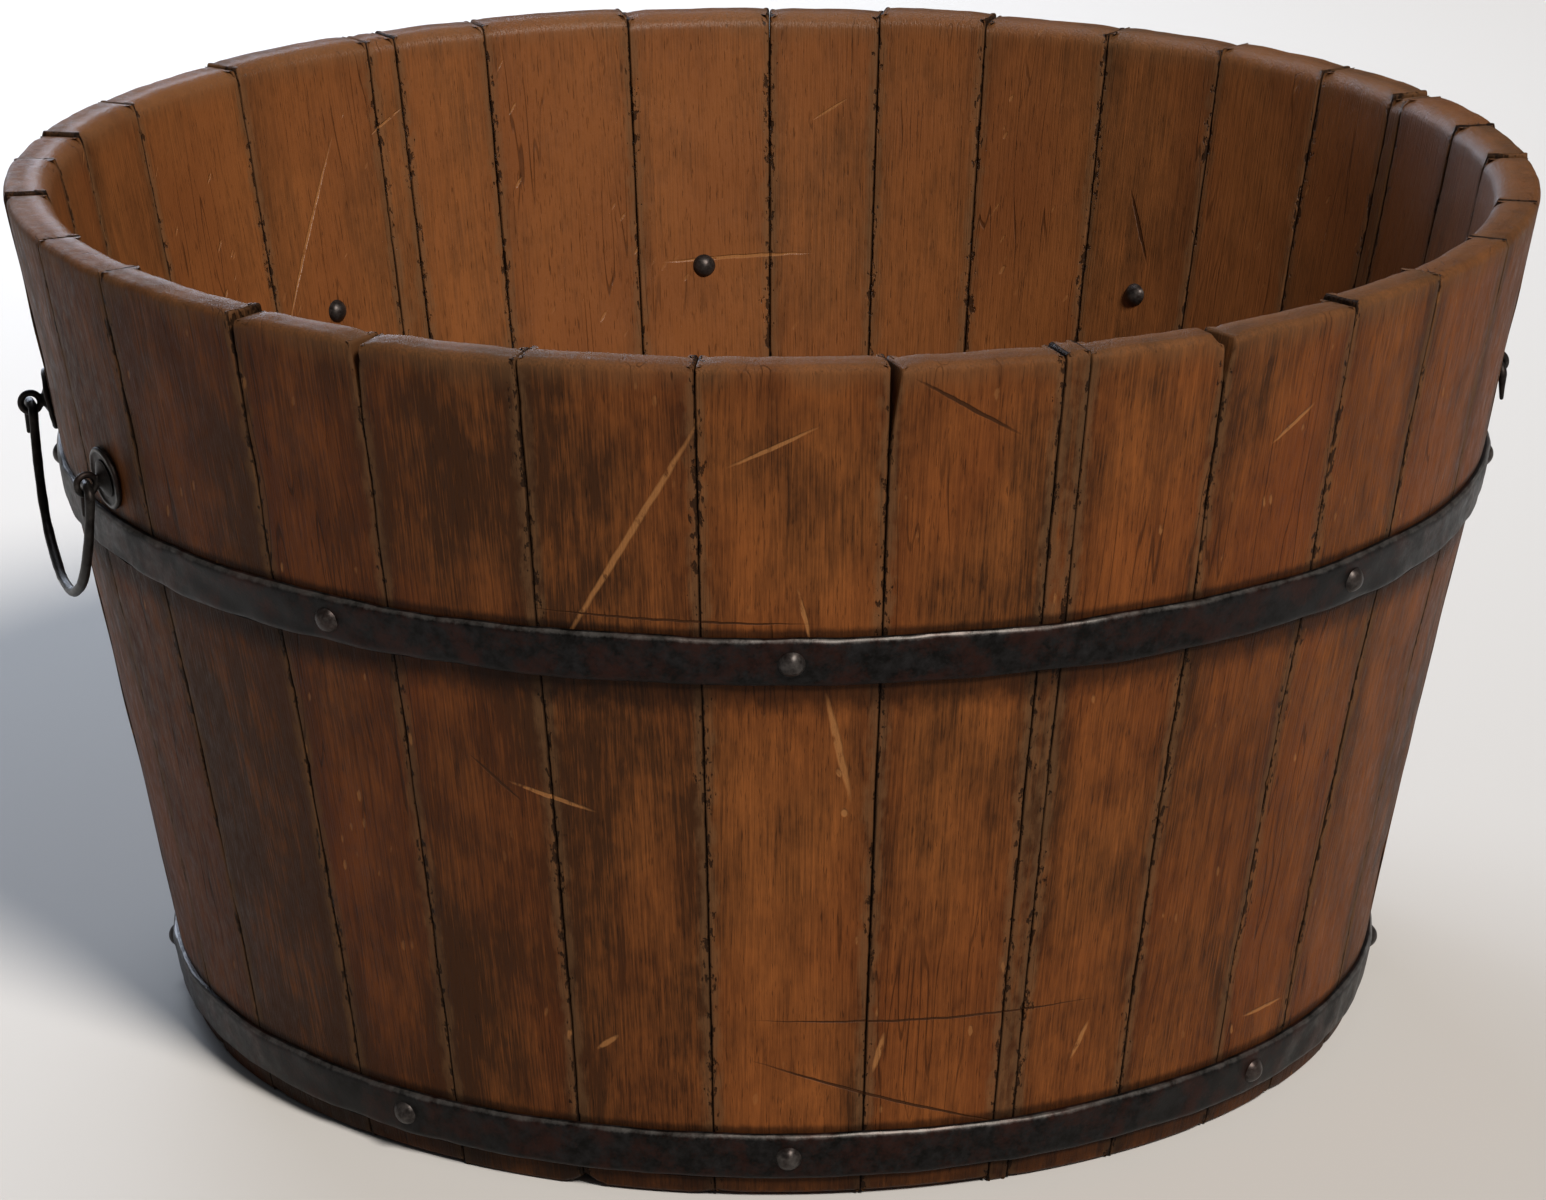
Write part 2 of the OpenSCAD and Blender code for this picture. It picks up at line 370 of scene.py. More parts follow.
class Graph:
    """A material's node tree."""

    def __init__(self, name: str) -> None:
        """Makes an empty material of that name."""
        self.material = bpy.data.materials.new(name)
        self.material.use_nodes = True
        self.tree = self.material.node_tree
        self.tree.nodes.clear()

    def add(
        self, kind: Kind, inputs: dict | None = None, out: str | None = None, **settings: object
    ) -> Socket:
        """Adds a node with its settings, values and links.

        Args:
            kind: the kind of node.
            inputs: a value or a socket for each input, by name or by number.
            out: the name of the output that is wanted, or None for the first one in use.
            settings: the node's own properties.

        Returns:
            The output socket.
        """
        node = self.tree.nodes.new(kind.value)
        for key, value in settings.items():
            setattr(node, key, value)
        for key, value in (inputs or {}).items():
            free = [s for s in node.inputs if s.enabled]
            target = free[key] if isinstance(key, int) else next(s for s in free if s.name == key)
            if isinstance(value, Socket):
                self.tree.links.new(value, target)
            else:
                target.default_value = value
        return next((s for s in node.outputs if s.enabled and out in (None, s.name)), None)

    def finish(self, **inputs: object) -> Material:
        """Ends the tree with its shader.

        Args:
            inputs: the shader's inputs, with an underscore for each space in a name.

        Returns:
            The material.
        """
        named = {key.replace("_", " "): value for key, value in inputs.items()}
        shader = self.add(Kind.PRINCIPLED, named)
        self.add(Kind.OUTPUT, {"Surface": shader})
        return self.material


@dataclass(frozen=True)
class Mark:
    """A scratch on the wall, as a thin ellipse between two places.

    A place is a front angle in degrees and a height as a share of the tub's. The width is in
    millimetres, and the side is the face of the wall that carries it.
    """

    start: tuple[float, float]
    end: tuple[float, float]
    width: float
    side: Side = Side.OUTSIDE

    def add(self, graph: Graph, wall: Wall, place: Socket) -> Socket:
        """Adds the scratch's mask.

        Args:
            graph: the material's tree.
            wall: the wall that it is on.
            place: the unrolled place on the wall.

        Returns:
            A socket that is 1 in the scratch's middle and 0 beside it.
        """
        ends = []
        for angle, share in (self.start, self.end):
            z = share * wall.height
            ends.append(Vector((math.radians(angle) * wall.radius(z), z, 0)))
        way = ends[1] - ends[0]
        middle = (ends[0] + ends[1]) / 2
        local = graph.add(
            Kind.MAPPING,
            {
                "Vector": place,
                "Location": (middle.x, middle.y, self.side.value),
                "Rotation": (0, 0, math.atan2(way.y, way.x)),
                "Scale": (way.length / 2, self.width * MM, 0.4),
            },
            vector_type="TEXTURE",
        )
        return graph.add(Kind.GRADIENT, {"Vector": local}, out="Fac", gradient_type="SPHERICAL")


@dataclass(frozen=True)
class VarnishedWood:
    """Old softwood, planed and varnished, worn back to grey-tan at its edges.

    The varnish has lasted inside, with a soft satin gloss, and is nearly gone outside, so that a
    fine, straight, slightly rough grain shows. The attributes are board, a place in the solid board
    with the grain along the third axis; wear, the distances in millimetres to the long edge and to
    the rim, and the board's tone, which on some boards is painted shade; under, the distance below a
    hoop in millimetres, which places the painted hoop shadow; and wall, the unrolled place and its
    face.
    """

    name: str
    dark: str = "#38200f"
    light: str = "#7e4a23"
    ruddy: str = "#58280e"
    patina: str = "#5d442d"
    # Grime's colour, which is also laid below the hoops as painted shadow
    grime_and_shadow: str = "#0e0704"
    raw: str = "#8d6038"
    # How much paler the boards are painted inside the tub, as painted light for the light that falls
    # into it, and how much greyer they are there
    painted_light_inside: float = 0.42
    greyer_inside: float = 0.22
    roughness: tuple[float, float] = (0.4, 0.66)
    varnish: float = 0.02
    varnish_inside: float = 0.35
    light_marks: tuple[Mark, ...] = ()
    dark_marks: tuple[Mark, ...] = ()

    def grain(
        self, graph: Graph, board: Socket, across: float, along: float, detail: float = 3
    ) -> Socket:
        """Adds a noise drawn out along the grain.

        Args:
            graph: the material's tree.
            board: the place in the board.
            across: the pattern's width in millimetres.
            along: its length along the grain in millimetres.
            detail: how many finer layers it has.

        Returns:
            The noise, about 0.2 to 0.8.
        """
        drawn = (1 / (across * MM), 1 / (across * MM), 1 / (along * MM))
        place = graph.add(Kind.VECTOR, {0: board, 1: drawn}, operation="MULTIPLY")
        return graph.add(Kind.NOISE, {"Vector": place, "Scale": 1.0, "Detail": detail, "Roughness": 0.6})

    def mask(
        self, graph: Graph, pattern: Socket, start: float, full: float, most: float = 1.0,
        noise: Socket | None = None, share: float = 0.0,
    ) -> Socket:
        """Adds a mask that grows smoothly between two values of a pattern.

        Args:
            graph: the material's tree.
            pattern: a noise, or a distance in millimetres.
            start: its value where the mask starts.
            full: its value where the mask is full.
            most: how strong the mask is there.
            noise: a noise that makes the mask's border ragged, or None.
            share: how much of that noise is added to the pattern.

        Returns:
            The mask, from 0 to its most.
        """
        if noise is not None:
            pattern = graph.add(Kind.MATH, {0: noise, 1: share, 2: pattern}, operation="MULTIPLY_ADD")
        return graph.add(
            Kind.RANGE,
            {"Value": pattern, "From Min": start, "From Max": full, "To Max": most},
            interpolation_type="SMOOTHSTEP",
        )

    def marks(self, graph: Graph, wall: Wall, place: Socket, marks: tuple[Mark, ...]) -> Socket:
        """Adds scratches and joins their masks into one."""
        joined: Socket | float = 0.0
        for mark in marks:
            one = mark.add(graph, wall, place)
            joined = graph.add(Kind.MATH, {0: joined, 1: one}, operation="MAXIMUM")
        return graph.add(Kind.RANGE, {"Value": joined, "From Min": 0.05, "From Max": 0.4})

    def build(self, wall: Wall) -> Material:
        """Makes the material.

        Args:
            wall: the wall that the scratches are placed on.

        Returns:
            The material.
        """
        graph = Graph(self.name)
        names = ("board", "wear", "wall")
        board, wear, place = (
            graph.add(Kind.ATTRIBUTE, out="Vector", attribute_name=name) for name in names
        )
        under = graph.add(Kind.ATTRIBUTE, out="Fac", attribute_name="under")
        edge, rim, tone = graph.add(Kind.SEPARATE, {0: wear}).node.outputs
        side = graph.add(Kind.SEPARATE, {0: place}).node.outputs[2]
        inside = graph.add(Kind.RANGE, {"Value": side, "From Min": 0.0, "From Max": -1.0})
        # Early-wood fibres are near 1 mm apart and run for a few centimetres.
        fibre = self.grain(graph, board, 1.0, 34, 4)
        # Growth bands show every 9 mm or so on the flat-sawn face and run most of the board's length.
        band = self.grain(graph, board, 9, 330)
        # Uneven stain and varnish make clouds a few centimetres wide.
        cloud = self.grain(graph, board, 26, 50)
        stain = self.grain(graph, board, 90, 160, 2)
        blotch = self.grain(graph, board, 5, 10, 4)
        # Some of the flaws come only where the stain is light.
        some = graph.add(Kind.RANGE, {"Value": stain, "From Min": 0.5, "From Max": 0.6})

        # Boards are darker for some 20 mm from their joints.
        shaded = self.mask(graph, edge, 8.0, -12.0, noise=cloud, share=-24.0)
        # Painted shadow below each hoop darkens the wood for some 20 mm under it.
        painted_hoop_shadow = self.mask(graph, under, 26.0, 11.0, 0.72, noise=blotch, share=12.0)
        # Pores are 0.3 mm wide, drawn at 0.8 mm so that they show.
        pores = self.mask(graph, self.grain(graph, board, 0.8, 11, 2), 0.6, 0.72, 0.5)
        # Drying checks are hairlines along the grain, found where a slow noise crosses its middle.
        line = self.grain(graph, board, 20, 330, 2)
        off_line = graph.add(Kind.MATH, {0: line, 1: 0.5}, operation="SUBTRACT")
        off_line = graph.add(Kind.MATH, {0: off_line}, operation="ABSOLUTE")
        checks = self.mask(graph, off_line, 0.007, 0.002, 0.5)
        # Wear reaches some 6 mm from a long edge and 17 mm from the rim, less where the noise is low.
        worn = self.mask(graph, edge, 0.0, -5.5, 0.55, noise=blotch, share=-13.0)
        worn_rim = self.mask(graph, rim, 4.0, -14.0, 0.5, noise=cloud, share=-26.0)
        worn = graph.add(Kind.MATH, {0: worn, 1: worn_rim}, operation="MAXIMUM")
        # Dirt lies in the last millimetre at the joints.
        dirt = self.mask(graph, edge, 0.3, -0.7, 0.85, noise=fibre, share=-1.4)
        # Splinters 2 to 3 mm wide have gone from the arrises, fewer the further from the joint.
        splinter = self.grain(graph, board, 2.4, 6)
        splinter = graph.add(Kind.MATH, {0: edge, 1: -0.045, 2: splinter}, operation="MULTIPLY_ADD")
        splinters = self.mask(graph, splinter, 0.8, 0.88, 0.8, noise=cloud, share=0.6)

        # Scratches waver by about a third of a millimetre.
        waver = graph.add(
            Kind.NOISE, {"Vector": place, "Scale": 1 / (9 * MM), "Detail": 2.0}, out="Color"
        )
        waver = graph.add(Kind.VECTOR, {0: waver, 1: (0.5, 0.5, 0.5)}, operation="SUBTRACT")
        waver = graph.add(Kind.VECTOR, {0: waver, "Scale": 1.3 * MM}, operation="SCALE")
        wavy = graph.add(Kind.VECTOR, {0: place, 1: waver}, operation="ADD")
        dark_marks = self.marks(graph, wall, wavy, self.dark_marks)
        light_marks = self.marks(graph, wall, wavy, self.light_marks)
        broken = graph.add(Kind.RANGE, {"Value": blotch, "From Min": 0.3, "From Max": 0.44})
        # Nicks are some 2 by 5 mm and lie one to a 10 by 26 mm cell.
        drawn = (1 / (10 * MM), 1 / (26 * MM), 1 / (10 * MM))
        cell = graph.add(Kind.VECTOR, {0: wavy, 1: drawn}, operation="MULTIPLY")
        cell = graph.add(Kind.VORONOI, {"Vector": cell, "Scale": 1.0}, out="Distance")
        nicks = self.mask(graph, cell, -0.02, -0.09, 0.7, noise=blotch, share=-0.3)

        # The first colour is the dark wood's, and each layer of tint lies over the one before.
        value: Socket | float = -2.0
        # The inside's share of lightness is painted light for the light that falls into the tub.
        lightness = (
            (band, 0.6), (fibre, 1.45), (cloud, 1.35), (stain, 0.9), (blotch, 0.6), (shaded, -0.25),
            (tone, 0.2), (inside, self.painted_light_inside),
        )
        for pattern, share in lightness:
            value = graph.add(Kind.MATH, {0: pattern, 1: share, 2: value}, operation="MULTIPLY_ADD")
        ruddy = graph.add(
            Kind.RANGE, {"Value": stain, "From Min": 0.4, "From Max": 0.75, "To Max": 0.55}
        )
        parts = ((inside, self.greyer_inside), (checks, some), (nicks, some), (light_marks, broken))
        bleached, checks, nicks, light_marks = (
            graph.add(Kind.MATH, {0: mask, 1: share}, operation="MULTIPLY") for mask, share in parts
        )
        # Bare wood shows through at eight tenths.
        bare_nicks, bare_marks = (
            graph.add(Kind.MATH, {0: mask, 1: 0.8}, operation="MULTIPLY")
            for mask in (nicks, light_marks)
        )
        layers = (
            (value, self.light),
            (ruddy, self.ruddy),
            (bleached, self.patina),
            (pores, self.grime_and_shadow),
            (worn, self.patina),
            (checks, self.grime_and_shadow),
            (painted_hoop_shadow, self.grime_and_shadow),
            (dirt, self.grime_and_shadow),
            (splinters, self.grime_and_shadow),
            (bare_nicks, self.raw),
            (bare_marks, self.raw),
            (dark_marks, self.dark),
        )
        colour: Socket | tuple = linear(self.dark)
        for mask, tint in layers:
            colour = graph.add(
                Kind.MIX, {"Factor": mask, "A": colour, "B": linear(tint)}, data_type="RGBA"
            )

        height: Socket | float = 0.5
        depths = (
            (fibre, 1.0), (pores, -0.5), (checks, -1.2), (nicks, -1.0), (light_marks, -0.8),
            (dark_marks, -0.8), (blotch, 0.5), (dirt, -0.4), (splinters, -1.6),
        )
        for pattern, share in depths:
            height = graph.add(Kind.MATH, {0: pattern, 1: share, 2: height}, operation="MULTIPLY_ADD")
        bump = graph.add(Kind.BUMP, {"Height": height, "Strength": 0.9, "Distance": 0.55 * MM})
        smooth, rough = self.roughness
        gloss = graph.add(
            Kind.RANGE,
            {"Value": blotch, "From Min": 0.3, "From Max": 0.7, "To Min": smooth, "To Max": rough},
        )
        gloss = graph.add(Kind.MATH, {0: worn, 1: 0.15, 2: gloss}, operation="MULTIPLY_ADD")
        lasting = self.varnish_inside - self.varnish
        varnish = graph.add(
            Kind.MATH, {0: inside, 1: lasting, 2: self.varnish}, operation="MULTIPLY_ADD"
        )
        rubbed_off = graph.add(Kind.MATH, {0: worn, 1: -0.8, 2: 1.0}, operation="MULTIPLY_ADD")
        varnish = graph.add(Kind.MATH, {0: varnish, 1: rubbed_off}, operation="MULTIPLY")
        return graph.finish(
            Base_Color=colour,
            Roughness=gloss,
            Normal=bump,
            Coat_Weight=varnish,
            Coat_Normal=bump,
            Coat_Roughness=0.3,
            Specular_IOR_Level=0.06,
            IOR=1.5,
        )


@dataclass(frozen=True)
class PlainBeech:
    """Turned beech for the dowels: pale, close-grained, left without a finish."""

    name: str = "turned_beech"
    light: str = "#c9a06c"
    dark: str = "#a67a48"

    def build(self) -> Material:
        """Makes the material, with flecks about 2 mm long along the dowel."""
        graph = Graph(self.name)
        place = graph.add(Kind.COORDINATES, out="Object")
        drawn = (1 / (0.5 * MM), 1 / (6 * MM), 1 / (0.5 * MM))
        place = graph.add(Kind.VECTOR, {0: place, 1: drawn}, operation="MULTIPLY")
        fleck = graph.add(Kind.NOISE, {"Vector": place, "Scale": 1.0, "Detail": 3.0})
        colour = graph.add(
            Kind.MIX,
            {"Factor": fleck, "A": linear(self.dark), "B": linear(self.light)},
            data_type="RGBA",
        )
        bump = graph.add(Kind.BUMP, {"Height": fleck, "Strength": 0.3, "Distance": 0.2 * MM})
        return graph.finish(Base_Color=colour, Normal=bump, Roughness=0.65, IOR=1.5)


@dataclass(frozen=True)
class BlackenedIron:
    """Forged iron, blackened with oil in the fire, with reddish rust and rubbed edges.

    The scale gives a dark, uneven satin surface. Its attribute edge is 1 where hands and knocks rub
    the scale away, and 0 on the flats; on a hoop it is kept to the top edge, where the rubbed colour is
    partly a painted highlight. A dent's width and depth are in millimetres.
    """

    name: str
    black: str = "#080706"
    grey: str = "#222122"
    rust: str = "#2e1711"
    # Bare rubbed metal, which along a hoop's top edge is partly a painted highlight
    rubbed_and_highlit: str = "#6c6966"
    rust_share: float = 0.75
    rub_and_highlight_share: float = 0.5
    metallic: float = 0.6
    roughness: tuple[float, float] = (0.38, 0.62)
    dent: float = 15.0
    dent_depth: float = 0.5

    def build(self) -> Material:
        """Makes the material."""
        graph = Graph(self.name)
        place = graph.add(Kind.COORDINATES, out="Object")
        edge = graph.add(Kind.ATTRIBUTE, out="Fac", attribute_name="edge")
        # The scale is mottled every 7 mm, and rust lies in patches 1 to 2 cm wide that the pits in the
        # scale, 1 to 2 mm wide, break up. The hammer's dents are broader.
        noises = ((7.0, 6.0, 0.72), (15.0, 5.0, 0.5), (1.6, 3.0, 0.5), (self.dent, 1.0, 0.5))
        mottle, patch, pits, dents = (
            graph.add(
                Kind.NOISE,
                {"Vector": place, "Scale": 1 / (size * MM), "Detail": detail, "Roughness": roughness},
            )
            for size, detail, roughness in noises
        )
        shade = graph.add(Kind.RANGE, {"Value": mottle, "From Min": 0.4, "From Max": 0.68})
        rusty = graph.add(Kind.MATH, {0: pits, 1: 0.35, 2: patch}, operation="MULTIPLY_ADD")
        rusty = graph.add(
            Kind.RANGE,
            {"Value": rusty, "From Min": 0.62, "From Max": 0.86, "To Max": self.rust_share},
        )
        # Rubbed metal shows where the edge attribute is high; along a hoop's top edge it is partly a
        # painted highlight.
        rub = graph.add(Kind.MATH, {0: mottle, 1: 0.9, 2: edge}, operation="MULTIPLY_ADD")
        rub = graph.add(
            Kind.RANGE,
            {"Value": rub, "From Min": 1.15, "From Max": 1.65, "To Max": self.rub_and_highlight_share},
            interpolation_type="SMOOTHSTEP",
        )
        colour: Socket | tuple = linear(self.black)
        for mask, tint in ((shade, self.grey), (rusty, self.rust), (rub, self.rubbed_and_highlit)):
            colour = graph.add(
                Kind.MIX, {"Factor": mask, "A": colour, "B": linear(tint)}, data_type="RGBA"
            )
        height = graph.add(Kind.MATH, {0: pits, 1: 0.22, 2: dents}, operation="MULTIPLY_ADD")
        bump = graph.add(
            Kind.BUMP, {"Height": height, "Strength": 0.6, "Distance": self.dent_depth * MM}
        )
        smooth, rough = self.roughness
        gloss = graph.add(
            Kind.RANGE,
            {"Value": mottle, "From Min": 0.3, "From Max": 0.7, "To Min": smooth, "To Max": rough},
        )
        gloss = graph.add(Kind.MATH, {0: rub, 1: -0.3, 2: gloss}, operation="MULTIPLY_ADD")
        return graph.finish(
            Base_Color=colour,
            Metallic=self.metallic,
            Roughness=gloss,
            Normal=bump,
            Specular_IOR_Level=0.2,
        )


# ---------------------------------------------------------------------------------------------------
# The staves


@dataclass(frozen=True)
class Corner:
    """How far one side of a stave is worn: a wedge off its joint, and falls in its rim and foot."""

    wedge: float = 0.0
    wedge_drop: float = 45 * MM
    foot_fall: float = 0.0
    fall: float = 0.0
    fall_reach: float = 14 * MM


@dataclass
class OutlinePoint:
    """One point of a stave's outline.

    across is -1 to 1 over the width between the arrises, inset and sink are shares of the arris
    radius off the side and off the face, depth is 0 at the outer face and 1 at the inner one, and
    the normal is split into its part off the side and its part off the face.
    """

    across: float
    inset: float
    depth: float
    sink: float
    side_normal: float
    face_normal: float
    face: Side


@dataclass
class Stave:
    """One stave's place in the wall, and what chance and wear have given it.

    The middle and half are angles round the tub. Its corners, the roughness of its arrises and their
    chips go by side, -1 for the left one and 1 for the right.
    """

    middle: float
    half: float
    sunk: float
    short: float
    lifted: float
    tone: float
    corners: dict[int, Corner]
    offset: np.ndarray
    face: Ripple
    rim: Ripple
    rough: dict[int, Ripple]
    chips: dict[int, Ripple]


@dataclass
class StavedWall:
    """The staves: each a tapered board with eased arrises, a worn rim and an uneven foot."""

    wall: Wall
    count: int
    hoop_heights: tuple[float, ...]
    hoop_width: float
    level_step: float = 4 * MM
    face_step: float = 6.5 * MM
    arris: float = 1.25 * MM
    inner_arris: float = 1.4 * MM
    rim_round: tuple[float, float] = (5 * MM, 8 * MM)
    base_round: float = 3 * MM
    side_round: float = 1.6 * MM
    slot_width: float = 0.18 * MM
    slot_depth: float = 4 * MM
    closing: float = 0.115 * MM
    most_sunk: float = 1.3 * MM
    most_short: float = 2.4 * MM
    most_lifted: float = 2.6 * MM
    # Unevenness of the outer face, the inner face and the rim, and the depth of a chip
    outer_ripple: float = 0.28 * MM
    inner_ripple: float = 0.25 * MM
    rim_ripple: float = 0.18 * MM
    chip_depth: float = 1.6 * MM
    # How far from a hoop a board is held back, and how far a worn corner reaches in from the side
    hold_reach: float = 45 * MM
    waist: float = 20 * MM
    # Tones and corners of the boards that stand out: the rest come by chance. The dark tones of boards
    # 29 to 33 are painted shade.
    tones_and_shade: dict[int, float] = field(default_factory=dict)
    corners: dict[tuple[int, int], Corner] = field(default_factory=dict)

    def span(self, frame: dict, node: str) -> tuple[float, float]:
        """Gives the directions of a stave's two sides."""
        points = node_points(frame, node)
        middle = math.atan2(points[:, 1].mean(), points[:, 0].mean())
        turned = np.arctan2(
            points[:, 1] * math.cos(middle) - points[:, 0] * math.sin(middle),
            points[:, 0] * math.cos(middle) + points[:, 1] * math.sin(middle),
        )
        return middle + float(turned.min()), middle + float(turned.max())

    def outline(self, width: float) -> list[OutlinePoint]:
        """Gives the outline of a stave of some width: outer face, right side, inner face, left side."""
        face_points = max(4, round(width / self.face_step))
        across = np.linspace(-1, 1, face_points)
        bends = np.radians([22.5, 45, 67.5])
        right: list[OutlinePoint] = []
        for bend in bends:
            s, c = math.sin(bend), math.cos(bend)
            right.append(OutlinePoint(1, 1 - s, 0, 1 - c, s, c, Side.OUTSIDE))
        for depth, sink in ((0, 1.0), (0.28, 0), (0.6, 0), (1, -1.0)):
            right.append(OutlinePoint(1, 0, depth, sink, 1, 0, Side.EDGE))
        for bend in bends[::-1]:
            s, c = math.sin(bend), math.cos(bend)
            right.append(OutlinePoint(1, 1 - s, 1, c - 1, s, -c, Side.INSIDE))
        left = [
            OutlinePoint(-1, p.inset, p.depth, p.sink, p.side_normal, p.face_normal, p.face)
            for p in right[::-1]
        ]
        outer = [OutlinePoint(float(a), 1, 0, 0, 0, 1, Side.OUTSIDE) for a in across]
        inner = [OutlinePoint(float(-a), 1, 1, 0, 0, -1, Side.INSIDE) for a in across]
        return outer + right + inner + left

    def levels(self) -> np.ndarray:
        """Gives the heights of the plain rings, with a pair at each edge of the croze."""
        low, high = 8 * MM, self.wall.height - 24 * MM
        plain = np.linspace(low, high, round((high - low) / self.level_step))
        step = 0.05 * MM
        edges = [z + d for z in (self.wall.croze_low, self.wall.croze_high) for d in (-step, step)]
        near = np.abs(plain[:, None] - np.array(edges)).min(axis=1) < 1 * MM
        return np.sort(np.concatenate([plain[~near], edges]))

    def near_hoops(self, z: np.ndarray) -> tuple[np.ndarray, np.ndarray]:
        """Tells how near heights are to a hoop.

        Args:
            z: the heights.

        Returns:
            How free the board is to sink, 0 under a hoop and 1 away from it, and the distance in
            millimetres below a hoop, which grows four times as fast above one.
        """
        hold, under = np.ones_like(z), np.full_like(z, FAR)
        for hoop in self.hoop_heights:
            gap = np.abs(z - hoop) - 0.75 * self.hoop_width
            hold = np.minimum(hold, np.clip(gap / self.hold_reach, 0, 1))
            off_edge = (np.abs(z - hoop) - self.hoop_width / 2) / MM
            under = np.minimum(under, np.where(z > hoop, 4 * off_edge, off_edge).clip(0))
        return hold, under

    def draw_stave(self, frame: dict, number: int) -> Stave:
        """Draws by chance what isn't set for a stave.

        Args:
            frame: the loaded frame.
            number: the stave's number, from 1.

        Returns:
            The stave.
        """
        start, stop = self.span(frame, f"stave_{number:02d}")
        draw = np.random.default_rng(100 + number)
        sunk = draw.uniform(0, self.most_sunk)
        short = draw.uniform(0, self.most_short)
        lifted = draw.uniform(0, self.most_lifted) * (draw.random() < 0.7)
        tone = self.tones_and_shade.get(number, draw.uniform(-1, 1))
        corners = {
            side: Corner(
                wedge=draw.uniform(0, 0.5) * MM,
                wedge_drop=25 * MM,
                fall=draw.uniform(0.2, 1.3) * MM,
                foot_fall=draw.uniform(0, 2.2) * MM,
            )
            for side in (-1, 1)
        }
        return Stave(
            middle=(start + stop) / 2,
            half=(stop - start) / 2,
            sunk=sunk,
            short=short,
            lifted=lifted,
            tone=tone,
            corners={side: self.corners.get((number, side), corners[side]) for side in (-1, 1)},
            offset=draw.uniform(-3, 3, 3),
            face=Ripple(200 + number, 30 * MM, 160 * MM, axes=2),
            rim=Ripple(300 + number, 14 * MM, 60 * MM, axes=1),
            rough={s: Ripple(400 + 2 * number + s, 10 * MM, 70 * MM, axes=1) for s in (-1, 1)},
            chips={s: Ripple(500 + 2 * number + s, 7 * MM, 22 * MM, axes=1) for s in (-1, 1)},
        )

    def heights(
        self, stave: Stave, point: OutlinePoint, from_side: float, corner: Corner
    ) -> tuple[np.ndarray, np.ndarray]:
        """Gives the rings at a point of the outline: foot rounding, plain levels, rim rounding.

        Args:
            stave: the stave.
            point: the point of its outline.
            from_side: the distance from the point to its side, at the rim.
            corner: the wear at that side.

        Returns:
            The height of each ring, and how far the rounding takes it back from the surface.
        """
        flatness = abs(point.face_normal)
        rim_round = np.interp(point.depth, (0, 1), self.rim_round)
        top_round = self.side_round + (rim_round - self.side_round) * flatness
        foot_round = self.side_round + (self.base_round - self.side_round) * flatness
        near_side = max(0.0, 1 - from_side / corner.fall_reach)
        spread = point.across * stave.half * self.wall.radius(self.wall.height)
        uneven = self.rim_ripple * (float(stave.rim.at(np.array(spread))) - 1)
        full = self.wall.height
        top = min(full - stave.short - corner.fall * near_side**2 + uneven, full)
        foot = stave.lifted + corner.foot_fall * near_side**1.5
        bends = np.radians(np.linspace(0, 90, 7))
        levels = self.levels()
        last = top - top_round
        between = levels[-1] + (last - levels[-1]) * np.array([0.4, 0.75])
        low = foot + foot_round * (1 - np.cos(bends[:-1]))
        z = np.concatenate([low, levels, between, last + top_round * np.sin(bends)])
        rounding = np.concatenate([
            (1 - np.sin(bends[:-1])) * foot_round,
            np.zeros(len(levels) + 2),
            (1 - np.cos(bends)) * top_round,
        ])
        return z, rounding

    def column(self, stave: Stave, point: OutlinePoint) -> tuple[np.ndarray, dict[str, np.ndarray]]:
        """Takes a point of the outline up the stave.

        Args:
            stave: the stave.
            point: the point of its outline.

        Returns:
            The points from the foot to the rim, and their attributes.
        """
        wall = self.wall
        side = 1 if point.across >= 0 else -1
        corner = stave.corners[side]
        half_rim = stave.half * wall.radius(wall.height)
        from_side = (1 - abs(point.across)) * half_rim
        z, rounding = self.heights(stave, point, from_side, corner)
        top = z[-1]
        radius = wall.radius(z)
        in_croze = (z > wall.croze_low) & (z < wall.croze_high)
        through = wall.thickness - wall.croze_depth * in_croze
        # Hoops sit on the boards, so boards sink only between them.
        hold, under = self.near_hoops(z)
        chip = np.clip(stave.chips[side].at(z) - 0.75, 0, 1) * self.chip_depth * (0.3 + 0.7 * hold)
        outer = point.depth < 0.5
        arris = (self.arris if outer else self.inner_arris) * (1 + 0.22 * stave.rough[side].at(z))
        arris = np.clip(arris, 0.5 * MM, None) + chip
        arris *= 0.55 + 0.45 * hold if outer else 1
        uneven = 1 + stave.face.at(np.full_like(z, point.across * half_rim), z)
        over_head = np.clip((z - 70 * MM) / (60 * MM), 0, 1)
        sink = hold * (stave.sunk + self.outer_ripple * uneven) * (1 - point.depth)
        sink -= self.inner_ripple * uneven * point.depth * over_head
        depth = through * point.depth + point.sink * arris + sink + point.face_normal * rounding
        to_face = np.minimum(depth, through - depth).clip(0)
        slot = self.slot_width * np.exp(-to_face / self.slot_depth) - self.closing
        drop = np.clip((z - (top - corner.wedge_drop)) / corner.wedge_drop, 0, 1) ** 1.4
        wedge = corner.wedge * drop * (1 - depth / wall.thickness)
        shown = radius - depth
        half_width = stave.half * shown
        inset = point.inset * arris + slot + point.side_normal * rounding
        reach = max(0.0, 1 - from_side / self.waist)
        across = point.across * (half_width - inset) - side * wedge * reach
        turn = stave.middle + across / shown
        unrolled = ((turn - FRONT + math.pi / 2) % (2 * math.pi)) - math.pi / 2
